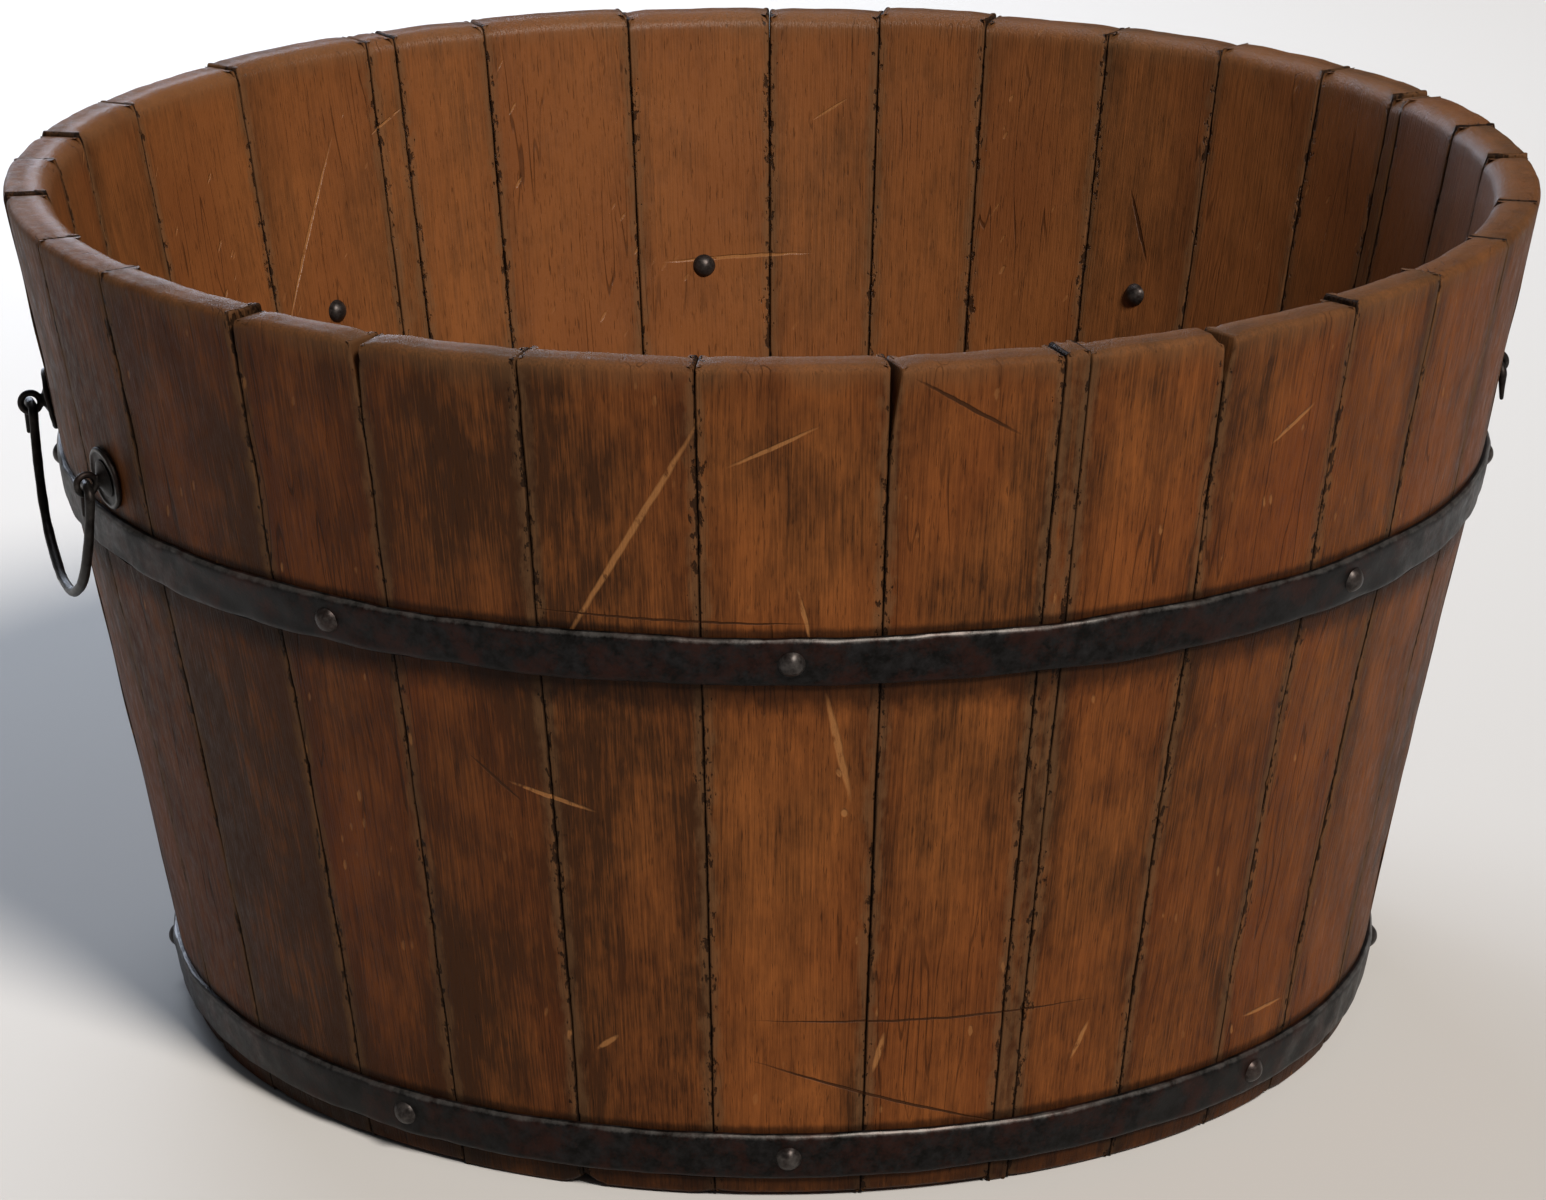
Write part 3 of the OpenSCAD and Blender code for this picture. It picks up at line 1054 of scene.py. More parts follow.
        # An open corner is worn inside as well, so it counts as a little way off the joint.
        long_edge = half_width - np.abs(across) if point.face is not Side.EDGE else 3 * wedge
        tone, face = np.full_like(z, stave.tone), np.full_like(z, point.face.value)
        fields = {
            "board": np.stack([across, depth, z], axis=-1) + stave.offset,
            "wear": np.stack([long_edge / MM, (top - z) / MM, tone], axis=-1),
            "under": under if point.face is Side.OUTSIDE else under + FAR,
            "wall": np.stack([unrolled * radius, z, face], axis=-1),
        }
        return np.stack([shown * np.cos(turn), shown * np.sin(turn), z], axis=-1), fields

    def build_one(self, frame: dict, number: int) -> Object:
        """Builds one stave.

        Args:
            frame: the loaded frame.
            number: the stave's number, from 1.

        Returns:
            The stave's object.
        """
        stave = self.draw_stave(frame, number)
        outline = self.outline(2 * stave.half * self.wall.radius(self.wall.height))
        columns = [self.column(stave, point) for point in outline]
        rings = np.stack([points for points, _ in columns], axis=1)
        fields = {name: np.stack([f[name] for _, f in columns], axis=1) for name in columns[0][1]}
        draft = MeshDraft()
        index = draft.add(rings, **fields)
        draft.skin(index, round_rows=True)
        # Between the two faces' points, each side has ten of its own.
        faces = (len(outline) - 20) // 2
        for ring in (index[0], index[-1]):
            outer, inner = ring[:faces], ring[faces + 10 : 2 * faces + 10][::-1]
            draft.skin(np.stack([outer, inner]))
            draft.cap(ring[faces - 1 : faces + 11], np.append(ring[2 * faces + 9 :], ring[0]))
        return draft.finish(f"stave_{number:02d}_worn")

    def build(self, frame: dict, finish: Material) -> None:
        """Builds and dresses every stave."""
        for number in range(1, self.count + 1):
            stave = self.build_one(frame, number)
            seat(stave, "root", "stave_wood", finish, f"stave_{number:02d}")


@dataclass
class Head:
    """The head: boards pinned edge to edge, with a tongue all round that sits in the croze."""

    wall: Wall
    count: int
    arris: float = 1.2 * MM
    tongue: float = 8.2 * MM
    columns: int = 60
    rows: int = 14

    def build(self, frame: dict, finish: Material) -> None:
        """Builds and dresses every board."""
        nodes = [f"head_board_{number:02d}" for number in range(1, self.count + 1)]
        low = min(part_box(node)[0].z for node in nodes)
        high = max(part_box(node)[1].z for node in nodes)
        for number, node in enumerate(nodes, 1):
            board = self.build_one(frame, node, low, high, number)
            seat(board, "root", "head_wood", finish, node)

    def build_one(self, frame: dict, node: str, low: float, high: float, number: int) -> Object:
        """Builds one board.

        Args:
            frame: the loaded frame.
            node: the board's CAD node.
            low: the height of the head's underside.
            high: the height of its top.
            number: the board's number, which its chance unevenness comes from.

        Returns:
            The board's object.
        """
        box_low, box_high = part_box(node)
        points = node_points(frame, node)
        reach = float(np.hypot(points[:, 0], points[:, 1]).max())
        body = reach - self.wall.croze_depth - 1.0 * MM
        middle = (self.wall.croze_low + self.wall.croze_high) / 2
        tongue_low, tongue_high = middle - self.tongue / 2, middle + self.tongue / 2
        layers = (
            (body - self.arris, low, self.arris),
            (body, low + self.arris, 0.0),
            (body, tongue_low, 0.0),
            (reach, tongue_low, 0.0),
            (reach, tongue_high, 0.0),
            (body, tongue_high, 0.0),
            (body, high - self.arris, 0.0),
            (body - 0.4 * self.arris, high - 0.3 * self.arris, 0.4 * self.arris),
            (body - self.arris, high, self.arris),
        )
        bow = Ripple(700 + number, 50 * MM, 260 * MM, axes=2)
        draw = np.random.default_rng(720 + number)
        offset = draw.uniform(-3, 3, 3)
        tone = draw.uniform(-0.8, 0.6)
        draft = MeshDraft()
        along, across = np.meshgrid(np.linspace(-1, 1, self.columns), np.linspace(-1, 1, self.rows))
        grids = []
        for radius, z, inset in layers:
            y = (box_low.y + box_high.y) / 2 + across * ((box_high.y - box_low.y) / 2 - inset)
            x = along * np.sqrt(np.clip(radius**2 - y**2, (60 * MM) ** 2, None))
            lift = -0.35 * MM * (1 + bow.at(x, y)) if z > middle else 0 * x
            height = z + lift if z >= high - self.arris else np.full_like(x, z)
            edge = np.minimum(y - box_low.y, box_high.y - y) / MM
            fields = {
                "board": np.stack([y, np.full_like(x, z), x], axis=-1) + offset,
                "wear": np.stack([edge, np.full_like(x, FAR), np.full_like(x, tone)], axis=-1),
                "wall": np.stack([x, y, np.full_like(x, Side.HEAD.value)], axis=-1),
                "under": np.full_like(x, FAR),
            }
            grids.append(draft.add(np.stack([x, y, height], axis=-1), **fields))
        rims = [
            np.concatenate([grid[0], grid[1:, -1], grid[-1, -2::-1], grid[-2:0:-1, 0]]) for grid in grids
        ]
        draft.skin(np.stack(rims), round_rows=True)
        draft.skin(grids[0])
        draft.skin(grids[-1])
        board = draft.finish(node + "_planed")
        self.drop_loose(board)
        return board

    @staticmethod
    def drop_loose(board: Object) -> None:
        """Deletes the grid points inside the layers that no face uses."""
        work = bmesh.new()
        work.from_mesh(board.data)
        loose = [v for v in work.verts if not v.link_faces]
        bmesh.ops.delete(work, geom=loose, context="VERTS")
        work.to_mesh(board.data)
        work.free()


# ---------------------------------------------------------------------------------------------------
# The ironwork


@dataclass
class Hoop:
    """A strip of wrought iron, bent flat to the wall and hammered tight on it."""

    wall: Wall
    name: str
    node: str
    width: float = 26 * MM
    thickness: float = 4 * MM
    gap: float = 0.1 * MM
    # Height and depth of the rounding at each edge
    edge_round: tuple[float, float] = (4.0 * MM, 2.3 * MM)
    segments: int = 540
    wander: float = 0.55 * MM
    dent: float = 0.4 * MM
    seed: int = 1

    @property
    def height(self) -> float:
        """The height of the strip's middle on the wall's outer face."""
        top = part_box(self.node)[1].z
        return top - self.width / 2 * math.cos(self.wall.slope) + self.gap * math.sin(self.wall.slope)

    def build(self, finish: Material) -> None:
        """Builds and dresses the hoop."""
        bends = np.radians(np.linspace(0, 90, 7))
        half, thick = self.width / 2, self.gap + self.thickness
        tall, deep = self.edge_round
        lower = [(-half + tall - tall * math.cos(b), thick - deep + deep * math.sin(b)) for b in bends]
        face = [(u, thick) for u in np.linspace(-half + tall, half - tall, 9)[1:-1]]
        upper = [(-u, v) for u, v in lower[::-1]]
        section = np.array([(-half, self.gap), *lower, *face, *upper, (half, self.gap)])
        turns = np.linspace(0, 2 * math.pi, self.segments, endpoint=False)[:, None]
        along, out = section[:, 0][None], section[:, 1][None]
        reach = self.wall.radius(self.height)
        edges = {s: Ripple(800 + self.seed + s, 25 * MM, 240 * MM, axes=2) for s in (-1, 1)}
        x, y = reach * np.cos(turns), reach * np.sin(turns)
        wander = np.where(along > 0, edges[1].at(x, y), edges[-1].at(x, y))
        # Each edge only wanders inwards, so that the strip keeps its full width at most.
        along = along - np.sign(along) * self.wander * (1 + wander) * (np.abs(along) / half)
        beaten = Ripple(810 + self.seed, 14 * MM, 60 * MM, axes=3, waves=24)
        dents = beaten.at(x, y, along + 0 * x)
        on_face = (out > thick / 2).astype(float)
        out = out - self.dent * (1 + dents) * on_face
        radius, z = self.wall.section(along, out, self.height)
        rings = np.stack([radius * np.cos(turns), radius * np.sin(turns), z], axis=-1)
        # The rubbed band runs only along the upper edge: wear, and a painted highlight where the top
        # bevel meets the light.
        near = np.clip(1.25 - (half - section[:, 0]) / tall, 0, 1) * (section[:, 1] > thick / 3)
        draft = MeshDraft()
        index = draft.add(rings, edge=np.broadcast_to(near, rings.shape[:2]))
        draft.skin(index, round_rows=True, round_ends=True)
        seat(draft.finish(self.name), "root", "hoop_iron", finish, self.node)


@dataclass
class RivetSet:
    """The rivets of one hoop: a shank through hoop and stave, with a hammered dome at each end."""

    wall: Wall
    hoop: Hoop
    name: str
    node: str
    head_radius: float = 6.7 * MM
    head_height: float = 4.2 * MM
    shank_radius: float = 3 * MM
    inner_gap: float = 0.15 * MM
    sides: int = 40

    def turns(self, frame: dict) -> list[float]:
        """Finds the rivets' directions as the gaps in the node's own points show them."""
        points = node_points(frame, self.node)
        around = np.sort(np.arctan2(points[:, 1], points[:, 0]))
        breaks = np.flatnonzero(np.diff(around) > math.radians(3)) + 1
        groups = np.split(around, breaks)
        if around[0] + 2 * math.pi - around[-1] < math.radians(3):
            groups[0] = np.concatenate([groups.pop() - 2 * math.pi, groups[0]])
        return [float(g.min() + g.max()) / 2 for g in groups]

    def profile(self) -> np.ndarray:
        """Gives the rivet's outline from the top of its outer dome to that of its inner one."""
        r, h = self.head_radius, self.head_height
        ball = (r * r + h * h) / (2 * h)
        reach = math.asin(min(1.0, r / ball))
        dome = [(ball * math.sin(a), h - ball + ball * math.cos(a)) for a in np.linspace(0.02, reach, 9)]
        outside = self.hoop.gap + self.hoop.thickness - 0.1 * MM
        inside = self.wall.thickness * math.cos(self.wall.slope) + self.inner_gap
        outer = [(a, outside + max(b, 0)) for a, b in dome]
        inner = [(a, -inside - max(b, 0)) for a, b in dome[::-1]]
        return np.array([*outer, (self.shank_radius, outside), (self.shank_radius, -inside), *inner])

    def build(self, frame: dict, finish: Material) -> None:
        """Builds and dresses the whole set as one piece."""
        profile = self.profile()
        edge = np.clip(1 - profile[:, 0] / self.head_radius, 0, 1)
        draft = MeshDraft()
        for turn in self.turns(frame):
            rings = lathe(profile, self.sides)
            hammered = Ripple(900 + round(math.degrees(turn)), 4 * MM, 14 * MM, axes=3)
            knock = hammered.at(rings[..., 0], rings[..., 1], rings[..., 2])
            off_axis = np.hypot(rings[..., 0], rings[..., 1]) / self.head_radius
            rings[..., 2] -= np.sign(rings[..., 2]) * 0.14 * MM * (1 + knock) * np.sqrt(off_axis)
            squash = 1 - 0.025 * (1 + hammered.at(rings[..., 0] * 0.5, rings[..., 1] * 0.5, 0 * knock))
            rings[..., :2] *= squash[..., None]
            index = draft.add(
                placed(rings, self.wall.on(turn, self.hoop.height)),
                edge=np.broadcast_to(0.25 + 0.5 * edge[:, None], rings.shape[:2]),
            )
            draft.skin(index, round_rows=True)
            draft.cap(index[0], index[-1])
        seat(draft.finish(self.name), "root", "rivet_iron", finish, self.node)


@dataclass
class HandleFittings:
    """The forged eyes that a bail hangs in, each with a beaded rosette behind it."""

    wall: Wall
    eye_off: float = 12 * MM
    eye_ring: float = 5.1 * MM
    eye_wire: float = 1.8 * MM
    spike: float = 2.6 * MM
    spike_length: float = 20 * MM
    point_length: float = 6 * MM
    foot_spread: float = 7.5 * MM
    rosette_radius: float = 16.5 * MM
    rosette_thickness: float = 2.2 * MM
    dish: float = 0.5 * MM
    bead: float = 1.5 * MM
    seat_gap: float = 0.15 * MM
    voxel: float = 0.42 * MM

    def place(self, side: str, end: str) -> tuple[float, float]:
        """Gives a fitting's direction and its height on the wall, from the rosette's box."""
        low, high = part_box(f"{side}_{end}_rosette")
        middle = (low + high) / 2
        lift = (self.seat_gap + self.bead) * math.sin(self.wall.slope)
        return math.atan2(middle.y, middle.x), middle.z + lift

    def rosette(self, side: str, end: str, finish: Material) -> None:
        """Builds and dresses one rosette."""
        turn, z = self.place(side, end)
        hole, web = self.spike + self.seat_gap, self.seat_gap + self.rosette_thickness
        centre, r = self.rosette_radius - self.bead, self.bead
        bead = [
            (centre + r * math.cos(a), self.seat_gap + r + r * math.sin(a))
            for a in np.radians(np.linspace(150, -90, 11))
        ]
        dish = [
            (hole + t * (centre - r - hole), web - self.dish * math.sin(math.pi * t))
            for t in np.linspace(0, 1, 9)
        ]
        profile = np.array([(hole, self.seat_gap), *dish[:-1], *bead])
        rings = lathe(profile, 72)
        beaten = Ripple(1000 + round(math.degrees(turn)), 5 * MM, 24 * MM, axes=2)
        knock = beaten.at(rings[..., 0], rings[..., 1])
        top = profile[:, 1][:, None] > self.seat_gap + 0.3 * MM
        rings[..., 2] -= 0.18 * MM * (1 + knock) * top
        squash = 1 - 0.008 * (1 + beaten.at(rings[..., 0] * 0.4, rings[..., 1] * 0.4))
        rings[..., :2] *= squash[..., None]
        edge = np.clip((profile[:, 1] - web) / (0.6 * MM), 0, 1)
        draft = MeshDraft()
        index = draft.add(
            placed(rings, self.wall.on(turn, z)), edge=np.broadcast_to(edge[:, None], rings.shape[:2])
        )
        draft.skin(index, round_rows=True, round_ends=True)
        node = f"{side}_{end}_rosette"
        seat(draft.finish(node + "_dished", crease=70), "root", "forged_iron", finish, node)

    def eye(self, side: str, end: str, finish: Material) -> None:
        """Builds and dresses one eye, with its ring and foot flowed into one another."""
        turn, z = self.place(side, end)
        draft = MeshDraft()
        around = np.linspace(0, 2 * math.pi, 48, endpoint=False)[:, None]
        wire = np.linspace(0, 2 * math.pi, 20, endpoint=False)[None]
        reach = self.eye_ring + self.eye_wire * np.cos(wire)
        rings = np.stack(
            [reach * np.cos(around), 0 * around + self.eye_wire * np.sin(wire),
             self.eye_off + reach * np.sin(around)],
            axis=-1,
        )
        draft.skin(draft.add(rings), round_rows=True, round_ends=True)
        foot = 2 * self.seat_gap + self.rosette_thickness
        neck = self.eye_off - self.eye_ring
        spread = self.spike + self.foot_spread
        sweep = [
            (self.eye_wire + (spread - self.eye_wire) * (1 - t) ** 1.4, foot + t * (neck - foot))
            for t in np.linspace(0, 1, 8)
        ]
        profile = np.array([
            (0.3 * MM, -self.spike_length),
            (self.spike, self.point_length - self.spike_length),
            (self.spike, foot),
            *sweep,
            (0.3 * MM, neck),
        ])
        index = draft.add(lathe(profile, 32))
        draft.skin(index, round_rows=True)
        draft.cap(index[0], index[-1])
        node = f"{side}_{end}_eye"
        piece = draft.finish(node + "_forged")
        flow = piece.modifiers.new("flow", "REMESH")
        flow.mode = "VOXEL"
        flow.voxel_size = self.voxel
        flow.use_smooth_shade = True
        ease = piece.modifiers.new("ease", "SMOOTH")
        ease.factor, ease.iterations = 0.5, 3
        self.apply(piece)
        points = np.array([v.co for v in piece.data.vertices])
        edge = np.clip((points[:, 2] - self.eye_off) / self.eye_ring, 0, 1) * 0.8
        rubbed_and_highlit = piece.data.attributes.new("edge", "FLOAT", "POINT").data
        rubbed_and_highlit.foreach_set("value", edge.astype(np.float32))
        piece.data.transform(self.wall.on(turn, z))
        seat(piece, "root", "forged_iron", finish, node)

    @staticmethod
    def apply(piece: Object) -> None:
        """Replaces a piece's mesh with what its modifiers make of it."""
        graph = bpy.context.evaluated_depsgraph_get()
        made = bpy.data.meshes.new_from_object(piece.evaluated_get(graph))
        piece.modifiers.clear()
        piece.data = made

    def build(self, finish: Material) -> None:
        """Builds the rosettes and eyes of both handles."""
        for side in ("right", "left"):
            for end in ("back", "front"):
                self.rosette(side, end, finish)
                self.eye(side, end, finish)


@dataclass
class Bail:
    """A drop handle of round rod, hooked through two eyes and drawn thinner to its tails.

    Its path lies in a plane: along is the distance from the middle along the hinge line, and up is
    the height over it.
    """

    side: str
    span: float = 156 * MM
    rod: float = 2.7 * MM
    hook: float = 5.5 * MM
    reach: float = 2.7 * MM
    tail: float = 12 * MM
    tip: float = 1.2 * MM
    pin_draw: float = 0.2 * MM
    tail_draw: float = 0.4 * MM
    waver: float = 0.45 * MM
    sides: int = 18
    step: float = 1.6 * MM

    @staticmethod
    def arc(
        centre: tuple[float, float], radius: float, start: float, stop: float, step: float
    ) -> np.ndarray:
        """Gives points along an arc, angles in radians, without its last point."""
        count = max(6, round(abs(stop - start) * radius / step))
        turns = np.linspace(start, stop, count, endpoint=False)
        return centre + radius * np.stack([np.cos(turns), np.sin(turns)], axis=-1)

    def hook_points(self, place: float, entry: float) -> np.ndarray:
        """Gives the path of one hook, from where the bow meets it to its tail's end.

        Args:
            place: the hook's first bend, as a distance along the hinge line.
            entry: the direction in which the bow meets the bend, in radians.

        Returns:
            Rows of along and up.
        """
        bend = self.arc((place, -self.hook), self.hook, entry, math.pi / 2, self.step / 2)
        far = place - 2 * self.reach
        pin = np.stack([np.linspace(place, far, 5, endpoint=False), np.zeros(5)], axis=-1)
        turn = self.arc((far, -self.hook), self.hook, math.pi / 2, math.pi, self.step / 2)
        drop = np.linspace(0, 1, 10) ** 0.9 * self.tail
        tail = np.stack([np.full(10, far - self.hook), -self.hook - drop], axis=-1)
        return np.concatenate([bend, pin, turn, tail])

    def drawn(self, count: int) -> np.ndarray:
        """Gives the rod's radius at a hook's points, drawn thinner from the bow to its tip."""
        share = np.linspace(0, 1, count)
        thinner = np.interp(share, (0, 0.35, 0.6, 1), (0, self.pin_draw, self.pin_draw, self.tail_draw))
        radius = self.rod - thinner
        return radius + (self.tip - radius) * np.clip((share - 0.72) / 0.28, 0, 1)

    def path(self, drop: float) -> tuple[np.ndarray, np.ndarray]:
        """Gives the rod's path and its radius along it, from one tail to the other.

        Args:
            drop: the distance from the hinge line to the middle of the rod at its lowest.

        Returns:
            Rows of along and up, and a radius for each.
        """
        half = self.span / 2
        a = (self.hook / half) ** 2
        b = 2 * (self.hook - drop)
        c = half**2 + drop**2 - 2 * drop * self.hook
        bow = (-b - math.sqrt(b * b - 4 * a * c)) / (2 * a)
        centre = (self.reach + bow * self.hook / half, bow - drop)
        ends = (half + self.reach, self.reach - half)
        outer = math.atan2(-self.hook - centre[1], ends[0] - centre[0])
        inner = math.atan2(-self.hook - centre[1], ends[1] - centre[0])
        first = self.hook_points(ends[1], math.pi + inner)
        last = self.hook_points(ends[0], outer)
        curve = self.arc(centre, bow, inner, outer, self.step)
        line = np.concatenate([first[::-1], curve[1:], last])
        bow_radius = np.full(len(curve) - 1, self.rod)
        radius = np.concatenate([self.drawn(len(first))[::-1], bow_radius, self.drawn(len(last))])
        # Each tail ends in a round tip.
        shares = np.array((0.6, 0.9, 0.995))[:, None]
        tips = []
        for end, before in ((line[0], line[1]), (line[-1], line[-2])):
            way = (end - before) / np.linalg.norm(end - before)
            tips.append(end + way * self.tip * shares)
        tip = self.tip * np.sqrt(1 - shares[:, 0] ** 2)
        line = np.concatenate([tips[0][::-1], line, tips[1]])
        return line, np.concatenate([tip[::-1], radius, tip])

    def build(self, frame: dict, finish: Material) -> None:
        """Builds and dresses the bail on its own body."""
        node = f"{self.side}_bail"
        hinge = Vector(next(j["pos_m"] for j in frame["joints"] if j["child"] == node))
        drop = hinge.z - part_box(node)[0].z - self.rod
        line, radius = self.path(drop)
        way = np.gradient(line, axis=0)
        way /= np.linalg.norm(way, axis=1)[:, None]
        turns = np.linspace(0, 2 * math.pi, self.sides, endpoint=False)[None]
        forged = Ripple(1100 + len(self.side), 7 * MM, 45 * MM, axes=3, waves=20)
        out = np.cos(turns) * radius[:, None]
        level = np.sin(turns) * radius[:, None]
        y = line[:, :1] - way[:, 1:] * level
        z = line[:, 1:] + way[:, :1] * level
        # The rod is beaten thinner here and there, never thicker, and least where it turns in the eyes.
        low = np.clip(-line[:, 1:] / (12 * MM), 0, 1)
        beaten = 1 - (0.006 + 0.045 * low) * (1 + forged.at(out * 0.6, y, z))
        # The bow was bent by eye over the anvil's horn, so it wavers a little.
        bent = Ripple(1150 + len(self.side), 22 * MM, 60 * MM, axes=2)
        waver = self.waver * low * bent.at(line[:, :1], line[:, 1:])
        points = np.stack([
            out * beaten,
            line[:, :1] - way[:, 1:] * (level * beaten + waver),
            line[:, 1:] + way[:, :1] * (level * beaten + waver),
        ], axis=-1)
        sign = 1 if hinge.x > 0 else -1
        points *= (sign, sign, 1)
        points += (hinge.x, hinge.y, hinge.z)
        draft = MeshDraft()
        rub = 0.25 + 0.4 * np.clip(-line[:, 1] / drop, 0, 1) ** 3
        index = draft.add(points, edge=np.broadcast_to(rub[:, None], points.shape[:2]))
        draft.skin(index, round_rows=True)
        draft.cap(index[0], index[-1])
        seat(draft.finish(node + "_rod", crease=70), node, "bail_iron", finish, node)


# ---------------------------------------------------------------------------------------------------
# The studio


class LampKind(Enum):
    """The kinds of light in the studio."""

    SUN = "SUN"
    SOFT_BOX = "AREA"


@dataclass(frozen=True)
class Lamp:
    """A soft light that looks at the tub, out of the camera's sight.

    bearing is its front angle in degrees and lift its height over the horizon. A sun's spread is its
    width in degrees and its power is in watts on a square metre. A soft box's spread is its side in
    metres and its power is in watts.
    """

    name: str
    kind: LampKind
    bearing: float
    lift: float
    spread: float
    power: float
    colour: str
    distance: float = 3.4

    def build(self, target: Vector) -> None:
        """Makes the light."""
        data = bpy.data.lights.new(self.name, self.kind.value)
        if self.kind is LampKind.SUN:
            data.angle = math.radians(self.spread)
        else:
            data.size = self.spread
        data.energy = self.power
        data.color = linear(self.colour)[:3]
        lamp = bpy.data.objects.new(self.name, data)
        turn, lift = FRONT + math.radians(self.bearing), math.radians(self.lift)
        way = Vector((math.cos(turn) * math.cos(lift), math.sin(turn) * math.cos(lift), math.sin(lift)))
        lamp.location = target + way * self.distance
        lamp.rotation_euler = way.to_track_quat("Z", "Y").to_euler()
        lamp.visible_camera = False
        bpy.context.scene.collection.objects.link(lamp)


@dataclass(frozen=True)
class Studio:
    """The camera, a pale floor and soft lights."""

    lens_mm: float = 129.14
    sensor_mm: float = 36.0
    distance: float = 2.824
    eye_height: float = 1.123
    pitch: float = 17.964
    floor_colour: str = "#c6c6c5"
    floor_size: float = 40.0
    world_colour: str = "#e9eef6"
    world_strength: float = 0.1
    lamps: tuple[Lamp, ...] = (
        Lamp("key", LampKind.SUN, bearing=29, lift=44, spread=14, power=4.2, colour="#fff6ec"),
        Lamp("back", LampKind.SOFT_BOX, bearing=-158, lift=15, spread=1.6, power=55, colour="#dde8fb"),
        Lamp("window", LampKind.SOFT_BOX, bearing=-155, lift=58, spread=1.4, power=42, colour="#e6edf8"),
    )

    def camera(self) -> None:
        """Makes the camera, level and aimed at the tub's axis."""
        scene = bpy.context.scene
        data = bpy.data.cameras.new("camera")
        data.lens, data.sensor_width = self.lens_mm, self.sensor_mm
        camera = bpy.data.objects.new("camera", data)
        camera.location = (
            self.distance * math.cos(FRONT), self.distance * math.sin(FRONT), self.eye_height
        )
        camera.rotation_euler = (math.radians(90 - self.pitch), 0, FRONT + math.pi / 2)
        scene.collection.objects.link(camera)
        scene.camera = camera

    def floor(self) -> None:
        """Makes the floor, a broad slab of matt pale paint just under the tub."""
        half, drop = self.floor_size / 2, 0.05 * MM
        signs = ((-1, -1), (1, -1), (1, 1), (-1, 1))
        draft = MeshDraft()
        draft.cap(draft.add(np.array([(x * half, y * half, -drop) for x, y in signs])))
        floor = draft.finish("floor")
        graph = Graph("matt_floor_paint")
        place = graph.add(Kind.COORDINATES, out="Object")
        roll = graph.add(Kind.NOISE, {"Vector": place, "Scale": 1 / (2 * MM), "Detail": 2.0})
        bump = graph.add(Kind.BUMP, {"Height": roll, "Strength": 0.05, "Distance": 0.2 * MM})
        floor.data.materials.append(
            graph.finish(Base_Color=linear(self.floor_colour), Roughness=0.9, Normal=bump)
        )

    def world(self) -> None:
        """Sets an even, slightly cool surround."""
        world = bpy.data.worlds.new("surround")
        world.use_nodes = True
        background = world.node_tree.nodes["Background"]
        background.inputs["Color"].default_value = linear(self.world_colour)
        background.inputs["Strength"].default_value = self.world_strength
        bpy.context.scene.world = world
        bpy.context.scene.view_settings.view_transform = "Standard"

    def build(self, height: float) -> None:
        """Makes the whole studio, with the lights aimed at half the tub's height."""
        self.camera()
        self.floor()
        self.world()
        for lamp in self.lamps:
            lamp.build(Vector((0, 0, height / 2)))


# ---------------------------------------------------------------------------------------------------
# The whole tub

LIGHT_MARKS = (
    Mark((-4.3, 0.952), (-15.9, 0.66), 2.0),
    Mark((-3.4, 0.882), (3.4, 0.932), 1.3),
    Mark((37.4, 0.855), (41.4, 0.895), 1.4),
    Mark((46.5, 0.13), (53.0, 0.13), 1.3),
    Mark((27.5, 0.66), (38.0, 0.67), 1.0),
    Mark((1.7, 0.75), (2.7, 0.685), 1.4),
    Mark((3.8, 0.63), (6.1, 0.487), 2.3),
    Mark((5.4, 0.486), (5.6, 0.474), 2.0),
    Mark((4.9, 0.535), (5.1, 0.522), 1.6),
    Mark((-21.0, 0.502), (-13.5, 0.473), 1.5),
    Mark((-15.2, 0.178), (-13.0, 0.2), 1.8),
    Mark((8.5, 0.155), (9.4, 0.21), 1.8),
    Mark((26.6, 0.14), (28.2, 0.19), 1.6),
    Mark((223, 0.90), (233, 0.65), 1.5, Side.INSIDE),
    Mark((175.7, 0.69), (191.2, 0.68), 1.3, Side.INSIDE),
    Mark((173, 0.89), (176.4, 0.86), 1.3, Side.INSIDE),
    Mark((215.4, 0.91), (219.4, 0.88), 1.3, Side.INSIDE),
)
DARK_MARKS = (
    Mark((-3.0, 0.18), (22.0, 0.07), 1.0),
    Mark((-3.5, 0.225), (30.0, 0.215), 0.8),
    Mark((9.0, 0.985), (17.4, 0.906), 1.3),
    Mark((-19.0, 0.712), (4.0, 0.705), 0.8),
    Mark((-24.0, 0.53), (-19.5, 0.475), 1.0),
    Mark((145, 0.81), (142, 0.71), 1.2, Side.INSIDE),
)


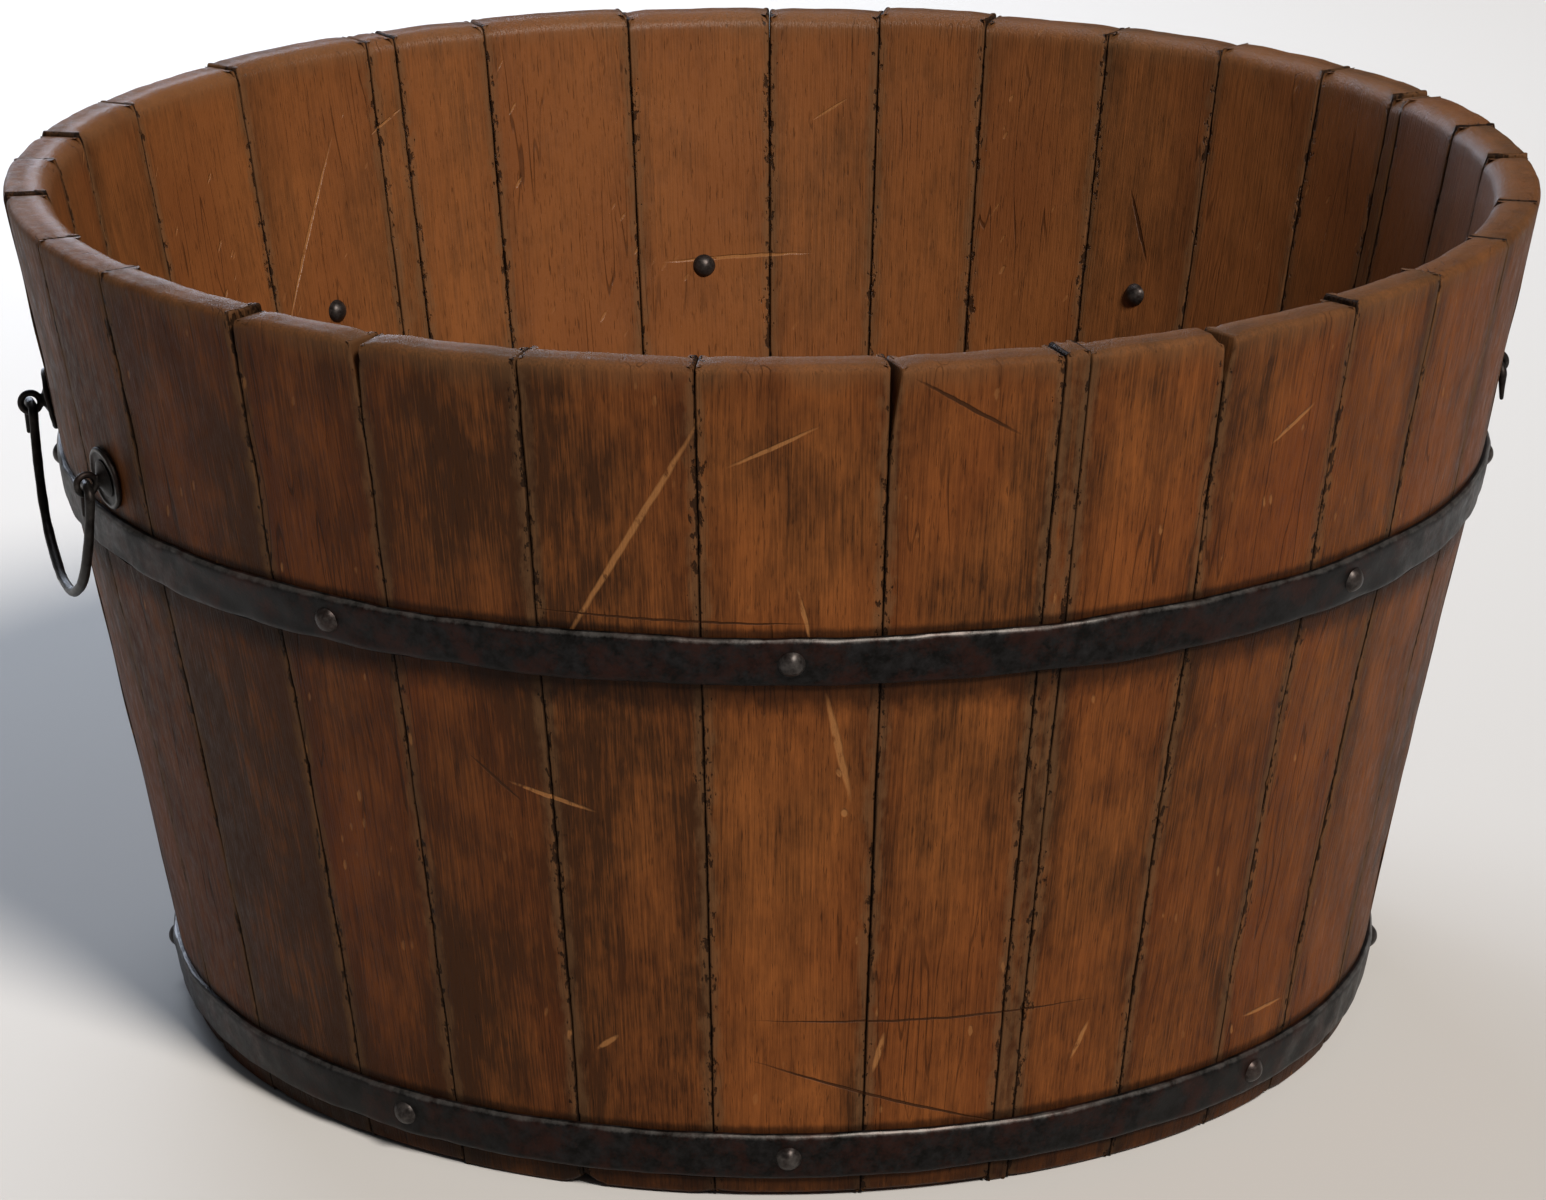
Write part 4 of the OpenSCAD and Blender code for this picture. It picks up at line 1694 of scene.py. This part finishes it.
def main() -> None:
    """Builds the studio and the tub, piece by piece."""
    logging.basicConfig(level=logging.INFO, format="%(message)s")
    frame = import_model()
    wall = Wall.read(frame, "stave_02")
    LOG.info("wall: %s", wall)
    Studio().build(wall.height)

    stave_wood = VarnishedWood("varnished_pine", light_marks=LIGHT_MARKS, dark_marks=DARK_MARKS)
    head_wood = VarnishedWood("oiled_pine", dark="#281308", light="#6d3d1a", varnish=0.0)
    hoop_iron = BlackenedIron("blackened_wrought_iron").build()
    rivet_iron = BlackenedIron(
        "rubbed_rivet_iron", black="#231f1e", grey="#4d4947", rust_share=0.3, dent=5.0,
        dent_depth=0.3, roughness=(0.3, 0.48),
    ).build()
    forged_iron = BlackenedIron(
        "waxed_forged_iron", black="#100e0d", grey="#2c2927", rust_share=0.35, dent=7.0,
        dent_depth=0.35, roughness=(0.36, 0.56),
    ).build()
    bail_iron = BlackenedIron(
        "handled_forged_iron", black="#110f0e", grey="#302d2b", rust_share=0.25, dent=6.0,
        dent_depth=0.3, roughness=(0.36, 0.56),
    ).build()

    upper = Hoop(wall, "upper_hoop_strip", "upper_hoop", seed=10)
    lower = Hoop(wall, "lower_hoop_strip", "lower_hoop", seed=20)
    staves = StavedWall(
        wall,
        count=sum(name.startswith("stave_") for name in frame["nodes"]),
        hoop_heights=(upper.height, lower.height),
        hoop_width=upper.width,
        # Boards 29 to 33 get dark tones that are painted shade on the side of the tub away from the key
        # light.
        tones_and_shade={
            1: 0.9, 2: 0.3, 3: -0.1, 4: 0.1, 5: -0.5, 6: -0.3, 7: 0.1,
            29: -1.3, 30: -1.6, 31: -1.5, 32: -1.1, 33: -0.5,
        },
        corners={
            (33, -1): Corner(wedge=0.3 * MM, fall=0.8 * MM, foot_fall=6 * MM),
            (32, 1): Corner(wedge=0.3 * MM, fall=0.8 * MM, foot_fall=5 * MM),
            (1, 1): Corner(wedge=0.6 * MM, fall=1.2 * MM),
            (2, -1): Corner(wedge=5.0 * MM, wedge_drop=48 * MM, fall=1.5 * MM),
            (2, 1): Corner(fall=1.0 * MM),
            (3, -1): Corner(fall=0.8 * MM, fall_reach=5 * MM),
            (3, 1): Corner(fall=0.8 * MM, fall_reach=5 * MM),
            (4, 1): Corner(wedge=2.2 * MM, wedge_drop=30 * MM, fall=6 * MM, fall_reach=10 * MM),
            (5, -1): Corner(wedge=3.6 * MM, wedge_drop=30 * MM, fall=2 * MM),
            (32, -1): Corner(wedge=3.0 * MM, wedge_drop=36 * MM, fall=2.5 * MM),
            (31, 1): Corner(wedge=2.5 * MM, wedge_drop=36 * MM, fall=2.5 * MM),
            (31, -1): Corner(wedge=2.5 * MM, wedge_drop=30 * MM, fall=2.5 * MM),
        },
    )
    staves.build(frame, stave_wood.build(wall))
    Head(wall, count=sum(n.startswith("head_board_") for n in frame["nodes"])).build(
        frame, head_wood.build(wall)
    )
    dowels = frame["nodes"]["head_dowels"]
    dowels.data.materials.clear()
    dowels.data.materials.append(PlainBeech().build())

    for hoop, rivets in ((upper, "upper_rivets"), (lower, "lower_rivets")):
        hoop.build(hoop_iron)
        RivetSet(wall, hoop, rivets + "_domed", rivets).build(frame, rivet_iron)
    HandleFittings(wall).build(forged_iron)
    for side in ("right", "left"):
        Bail(side).build(frame, bail_iron)

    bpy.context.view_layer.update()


if __name__ == "__main__":
    main()
